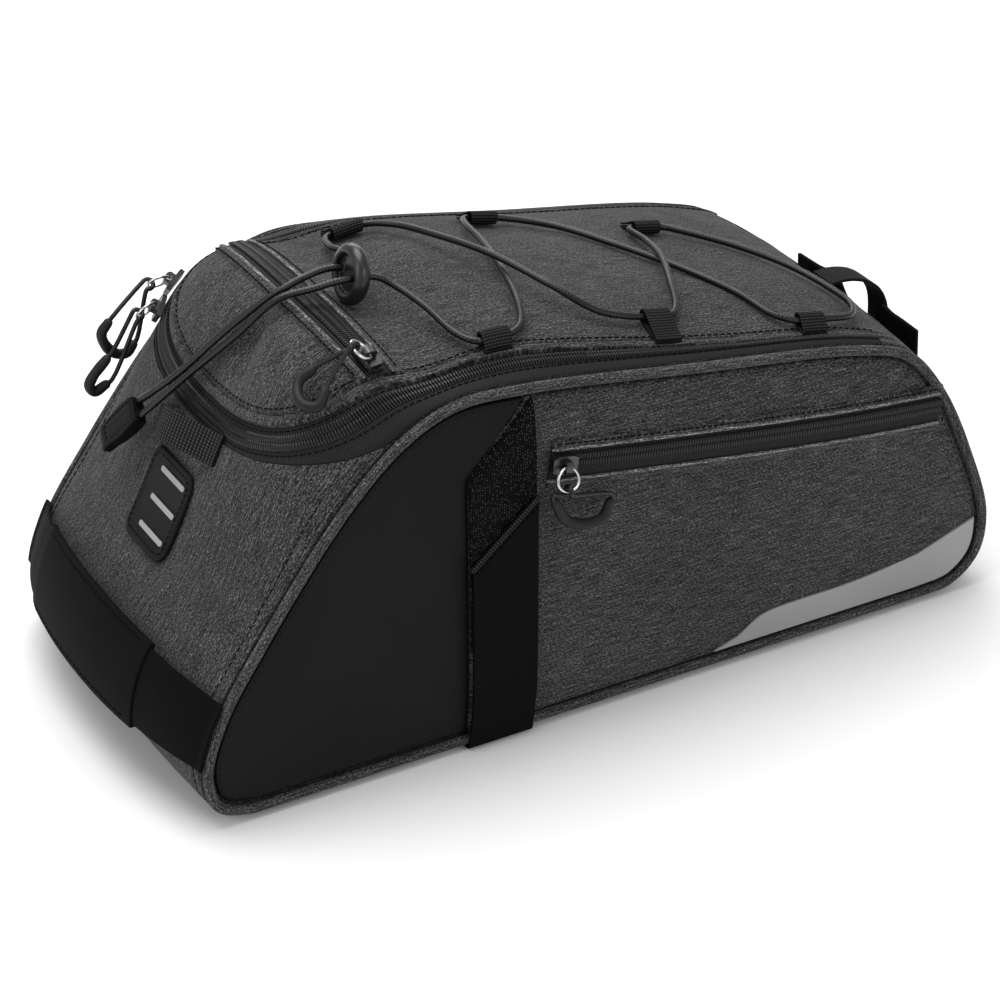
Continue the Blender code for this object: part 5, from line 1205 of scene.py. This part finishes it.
def seat_strap():
    index = SADDLE_TOP_ROW * 40
    base = outline(RUNS[index])
    base = np.array([base[0] + SEAT_STRAP_SHIFT, 0, base[1]])
    table = smooth_curve([(y, 0, 0, *rest) for y, *rest in SEAT_STRAP], 9)[:, (0, 3, 4, 5, 6)]
    upper = np.stack([table[:, 1], table[:, 0], table[:, 2]], -1) + base
    lower = np.stack([table[:, 3], table[:, 0], table[:, 4]], -1) + base
    centre = (upper + lower) / 2
    along = np.gradient(centre, axis=0)
    normal = unit(np.cross(along, upper - lower))
    normal *= np.sign(normal[:, :1])
    columns = np.linspace(0, 1, 11)
    gather = np.exp(-((table[:, 0] + 0.0035) / 0.010) ** 2)
    grids = []
    for thick in (SEAT_STRAP_THICK, 0.0):
        rows = []
        for u in columns:
            pleat = 0.0006 * gather * cos(u * tau * 2.5) * (1 if thick else 0)
            rows.append(upper + (lower - upper) * u + normal * (thick + pleat)[:, None] if thick else upper + (lower - upper) * u)
        grids.append(np.stack(rows, 1))
    slab("seatpost_webbing", grids[0], grids[1], strap_uv(grids[0]), WEB, ["seatpost_strap"])
    path = smooth_curve([(x, z, 0) for x, z in SADDLE_LOOP], 8)[:, :2]
    turn = unit(np.gradient(path, axis=0))
    out = np.stack([-turn[:, 1], turn[:, 0]], -1)
    grids = []
    for rise in (WEBBING, 0.0):
        line = path + out * rise
        grids.append(np.array([[np.array([x, SADDLE_LOOP_PLACE + SADDLE_LOOP_WIDTH * s, z]) + base for s in np.linspace(-0.5, 0.5, 9)] for x, z in line]))
    slab("saddle_loop_webbing", grids[0], grids[1], strap_uv(grids[0]), LOOP_WEB, ["saddle_loop"])


# Lacing
def lacing_loops():
    for side_name, places in (("near", LOOPS_NEAR), ("far", LOOPS_FAR)):
        for index, (run, y) in enumerate(mm(places)):
            sign, fold = np.sign(y), LOOP_FOLD
            edge = min(lid_half(run) - 2 * GAP, abs(y) + (0.034 if sign < 0 else 0.011))
            arc = [(abs(y) - fold * sin(a), 2 * GAP + fold - fold * cos(a)) for a in np.linspace(0, pi, 17)]
            top = 2 * GAP + 2 * fold
            lower = [(edge, 2 * GAP), ((edge + abs(y)) / 2, 2 * GAP)]
            upper = [(abs(y) + LOOP_SKIN * 2, top - 0.0001), ((edge + abs(y)) / 2 + 0.002, 3 * GAP + 2.2 * LOOP_SKIN + 0.0008), (edge, 3 * GAP + 2 * LOOP_SKIN)]
            path = np.array(lower + arc + upper)
            along = unit(np.gradient(path, axis=0))
            grids = []
            for inset in (0.0, LOOP_SKIN):
                line = [(y_ + n[1] * inset, h - n[0] * inset) for (y_, h), n in zip(path, along)]
                grids.append(np.array([[wrap(run + LOOP_WIDTH * s, sign * y_, h) for s in np.linspace(-0.5, 0.5, 7)] for y_, h in line]))
            slab(f"cord_loop_{side_name}_{index + 1}", grids[0], grids[1], strap_uv(grids[0]), LOOP_WEB, [f"lacing_loop_{side_name}_{index + 1}"], bevel=0.0002, sharp=70)


def bungee():
    route = np.array([wrap(*place) for place in mm(BUNGEE_ROUTE)])
    path = smooth_curve(route, 14)
    path = even(path, int(lengths(path)[-1] / 0.0014))
    tube("bungee_lacing", path, BUNGEE_DIAMETER / 2, BRAID, ["bungee_cord"], sides=14)


def lathe_parts(profile, centre, axis, sides=56):
    axis = unit(axis)
    across = unit(np.cross(axis, (0, 0, 1.0)))
    up = np.cross(across, axis)
    angle = np.arange(sides) * tau / sides
    ring = np.cos(angle)[:, None] * across + np.sin(angle)[:, None] * up
    points = np.array([centre + axis * a + ring * max(r, 1e-5) for a, r in profile])
    uv = np.stack(np.broadcast_arrays(np.cumsum([0.0008] * len(profile))[:, None], angle[None, :] * 0.01), -1)
    faces = [tuple(q) for q in grid_quads(len(profile), sides, 0, True)]
    faces += [tuple(range(sides)), tuple((len(profile) - 1) * sides + k for k in range(sides))]
    return points.reshape(-1, 3), faces, uv.reshape(-1, 2)


def cord_lock():
    run, y, height = mm(LOCK_PLACE)
    centre, along = wrap(run, y, height), wrap_axes(run, y)[0]
    radius, half = LOCK_RADIUS, LOCK_THICK / 2
    profile = [
        (half, 0), (half, radius * 0.50), (half * 0.98, radius * 0.62), (half * 0.86, radius * 0.80), (half * 0.55, radius * 0.93),
        (half * 0.2, radius * 0.99), (-half * 0.2, radius), (-half * 0.55, radius * 0.965), (-half * 0.86, radius * 0.88),
        (-half * 1.0, radius * 0.79), (-half * 0.97, radius * 0.70), (-half * 0.80, radius * 0.645), (-half * 0.40, radius * 0.62),
        (-half * 0.34, radius * 0.56), (-half * 0.42, radius * 0.30), (-half * 0.42, 0),
    ]
    fine = smooth_curve([(a, r, 0) for a, r in profile], 4)[:, :2]
    made = many("spring_lock", [lathe_parts(fine, centre, along)], GLOSS, ["cord_lock"])
    for index, side_y in enumerate((y + 0.006, y - 0.006)):
        middle = wrap(run, side_y, height)
        ring = [(-half * 0.5, LOCK_HOLE * 0.80), (-half * 0.30, LOCK_HOLE * 1.28), (half * 1.02, LOCK_HOLE * 1.25), (half * 1.06, LOCK_HOLE * 0.8)]
        many(f"lock_eye_{index + 1}", [lathe_parts(smooth_curve([(a, r, 0) for a, r in ring], 3)[:, :2], middle, along, 24)], GLOSS)
    return made


def pull_end():
    entry, tip = (wrap(*place) for place in mm(PULL_END))
    along = unit(tip - entry)
    across = unit(np.cross(along, wrap_axes(*mm(PULL_END[0][:2]))[2]))
    out = np.cross(across, along)
    out *= np.sign(out[2])
    half = PULL_END_WIDTH / 2
    grids = []
    us = np.array([-1, -0.97, -0.9, -0.75, -0.62, -0.5, -0.25, 0, 0.25, 0.5, 0.62, 0.75, 0.9, 0.97, 1])
    for side_ in (0.5, -0.5):
        rows = []
        for share in np.linspace(0, 1, 31):
            thick = PULL_END_THICK[0] * (1 - share) + PULL_END_THICK[1] * share
            width = half * (0.86 + 0.14 * sin(pi * min(share * 1.3, 1)))
            row = []
            for u in us:
                drop = 1 - 0.16 * abs(u) ** 8
                ends = 1 - 0.14 * max(0, abs(share - 0.5) * 2 - 0.88) / 0.12
                here = entry + (tip - entry) * share + across * width * u
                seam = max(0.0, 1 - abs(abs(u) - 0.66) / 0.09) if share < 0.82 else 0.0
                if abs(u) < 0.7:
                    seam = max(seam, 1 - min(1.0, abs(share - 0.82) / 0.035))
                row.append(here + out * side_ * (thick * drop * ends - 0.0007 * seam))
            rows.append(row)
        grids.append(np.array(rows))
    slab("bungee_tab", grids[0], grids[1], strap_uv(grids[0]), PU, ["bungee_pull_end"], bevel=0.0005)
    line = [entry + along * 0.001 + across * half * 0.66]
    length = np.linalg.norm(tip - entry)
    for u, v in ((0.66, 0.3), (0.66, 0.7), (0.6, 0.79), (0.45, 0.82), (0, 0.82), (-0.45, 0.82), (-0.6, 0.79), (-0.66, 0.7), (-0.66, 0.3), (-0.66, 0.05)):
        line.append(entry + along * length * v + across * half * u)
    line = np.array(line)
    share = ((line - entry) @ along) / length
    thick = PULL_END_THICK[0] * (1 - share) + PULL_END_THICK[1] * share
    line = even(line + out * (thick / 2 - 0.0003)[:, None], 80)
    STITCHES.extend(stitch_parts(line, np.broadcast_to(out, line.shape), pitch=0.0024, length=0.0018, radius=0.00022))


# Zip pulls
def zip_pull(name, seat, along, out, bail_way, sleeve):
    along, out = unit(along), unit(out)
    out = unit(out - along * along.dot(out))
    flat = unit(bail_way - out * out.dot(bail_way))
    tunnel = np.cross(flat, out)
    hole_mid = BRIDGE_HIGH * 0.42
    hook = seat + out * (GAP + SLIDER_THICK) + out * hole_mid
    bail_way = unit(bail_way)
    centre = hook + bail_way * BAIL_RADIUS
    ring_normal = np.cross(bail_way, tunnel)
    ring_normal = ring_normal * np.sign(ring_normal.dot(out))
    ring = np.array([centre + (-bail_way * cos(a) * 1.0 + tunnel * sin(a) * (1 - 0.10 * cos(a))) * BAIL_RADIUS for a in np.linspace(0, tau, 48, endpoint=False)])
    tube(f"{name}_bail_wire", ring, BAIL_WIRE / 2, NICKEL, [f"{name}_bail"], sides=12, closed=True)
    path = even(smooth_curve(seat + mm(sleeve), 10), 60)
    ends = np.abs(np.linspace(-1, 1, 60))
    radius = SLEEVE_DIAMETER / 2 * (1 - 0.10 * ends**2 + 0.03 * np.cos(ends * 9))
    tube(f"{name}_grip", path, radius, RUBBER, [f"{name}_sleeve"], sides=18)
    coarse = smooth_curve(seat + mm(sleeve), 2)
    away = [unit(coarse[0] - coarse[1]), unit(coarse[-1] - coarse[-2])]
    reach = BAIL_WIRE / 2 + PULL_CORD_DIAMETER / 2 + 2 * GAP
    tip = hook + bail_way * BAIL_RADIUS * 2
    swing = ring_normal if (coarse[0] - coarse[-1]).dot(ring_normal) >= 0 else -ring_normal
    bend = [tip + reach * (bail_way * cos(a) + swing * sin(a)) for a in np.linspace(pi / 3, 5 * pi / 3, 12)]
    lead = [coarse[0] + away[0] * r for r in (-0.001, 0.003)]
    tail = [coarse[-1] + away[1] * r for r in (0.003, -0.001)]
    whole = even(smooth_curve(lead + bend + tail, 6), 90)
    tube(f"{name}_loop_cord", whole, PULL_CORD_DIAMETER / 2, BRAID, [f"{name}_cord"], sides=10)
    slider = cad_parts[f"{name}_slider"]
    slider.data.materials.clear()
    slider.data.materials.append(DARK_METAL)
    soft = slider.modifiers.new("soft_edges", "BEVEL")
    soft.width, soft.segments, soft.limit_method, soft.angle_limit = 0.00028, 3, "ANGLE", radians(35)


def zip_pulls():
    for index, (angle, sleeve) in enumerate(zip(MAIN_SLIDERS, MAIN_SLEEVES)):
        angle = radians(angle)
        seat = zip_point("corner", angle, 1, 0.5, COIL_HEIGHT)
        along = zip_point("corner", angle + 0.02, 1, 0.5, 0) - zip_point("corner", angle - 0.02, 1, 0.5, 0)
        side_way = zip_point("corner", angle, 1, 1, 0) - zip_point("corner", angle, 1, 0, 0)
        out = unit(np.cross(along, side_way))
        out = out * np.sign(out[2])
        way = -unit(along) * cos(radians(35)) + out * sin(radians(35))
        zip_pull(f"main_zip_{index + 1}", seat, along, out, way, sleeve)
    run, y = LID_POCKET_RUN * GIRTH, -(LID_POCKET_HALF - 0.0055)
    tailward, across, out = wrap_axes(run, y)
    seat = wrap(run, y, LID_POCKET_STAND + GAP + TAPE * 0.8 + COIL_HEIGHT * 0.7)
    way = out * sin(radians(28)) - tailward * cos(radians(28))
    zip_pull("lid_pocket", seat, across, out, way, LID_POCKET_SLEEVE)
    places = smooth_curve([(side_x(x), side_z(z)) for x, z in SIDE_ZIP], 12)
    picks = np.linspace(0, len(places) - 1, 60).round().astype(int)
    place, ahead = places[picks][1], places[picks][3]
    height = 2 * GAP + TAPE * 0.8 + COIL_HEIGHT * 0.8
    drop = -SIDE_POCKET_OPEN * 0.1
    seat = side(place[0], place[1] - drop, height)
    along = side(ahead[0], ahead[1] - drop, height) - seat
    way = np.array([0.1, -0.30, -0.95])
    way = way - along / np.linalg.norm(along) * way.dot(along) / np.linalg.norm(along)
    zip_pull("side_pocket", seat, along, np.array([0, -1.0, 0]), way, SIDE_POCKET_SLEEVE)


# Camera and light
def camera():
    data = bpy.data.cameras.new("photo_camera")
    data.sensor_width, data.lens = 36.0, 113.96
    data.clip_start, data.clip_end = 0.05, 50
    made = bpy.data.objects.new("photo_camera", data)
    bpy.context.scene.collection.objects.link(made)
    azimuth, elevation = radians(28.3336), radians(29.6415)
    back = Vector((-sin(azimuth) * cos(elevation), -cos(azimuth) * cos(elevation), sin(elevation)))
    right = Vector((cos(azimuth), -sin(azimuth), 0))
    up = back.cross(right)
    turn = Matrix((right, up, back)).transposed().to_4x4()
    made.matrix_world = Matrix.Translation((-0.542573, -0.998630, 0.700873)) @ turn
    bpy.context.scene.camera = made


def area_light(name, place, target, size, power):
    data = bpy.data.lights.new(name, "AREA")
    data.shape, data.size, data.size_y, data.energy = "RECTANGLE", size[0], size[1], power
    made = bpy.data.objects.new(name, data)
    bpy.context.scene.collection.objects.link(made)
    made.location = place
    made.rotation_euler = (Vector(target) - Vector(place)).to_track_quat("-Z", "Y").to_euler()


def stage():
    world = bpy.data.worlds.new("studio")
    world.use_nodes = True
    background = world.node_tree.nodes["Background"]
    background.inputs["Color"].default_value = (1, 1, 1, 1)
    background.inputs["Strength"].default_value = 0.50
    bpy.context.scene.world = world
    mesh = bpy.data.meshes.new("floor")
    mesh.from_pydata([(-6, -6, 0), (6, -6, 0), (6, 6, 0), (-6, 6, 0)], [], [(0, 1, 2, 3)])
    floor = bpy.data.objects.new("floor", mesh)
    floor.location.z = -0.0004
    bpy.context.scene.collection.objects.link(floor)
    made = bpy.data.materials.new("pale_floor")
    made.use_nodes = True
    shader = made.node_tree.nodes["Principled BSDF"]
    shader.inputs["Base Color"].default_value = (0.93, 0.93, 0.93, 1)
    shader.inputs["Roughness"].default_value = 0.9
    shader.inputs["Specular IOR Level"].default_value = 0.1
    mesh.materials.append(made)
    area_light("top_soft", (-0.10, 0.25, 1.35), (0, 0, 0.08), (1.3, 1.0), 17)
    area_light("left_soft", (-1.25, -0.15, 0.75), (0, 0, 0.07), (0.7, 0.9), 3.2)
    area_light("front_soft", (0.35, -1.6, 0.9), (0, 0, 0.07), (1.0, 0.7), 5)
    area_light("back_rim", (0.5, 1.3, 0.8), (0, 0, 0.1), (1.2, 0.4), 5)
    bpy.context.scene.view_settings.view_transform = "Standard"


camera()
stage()
body_cloth()
lid_cloth()
main_zip()
zip_ends()
lid_pocket()
side_panels()
side_pocket()
piping()
hook_straps()
rack_strap()
tail_handle()
tail_trim()
seat_strap()
lacing_loops()
bungee()
cord_lock()
pull_end()
zip_pulls()
many("stitching", STITCHES, THREAD)
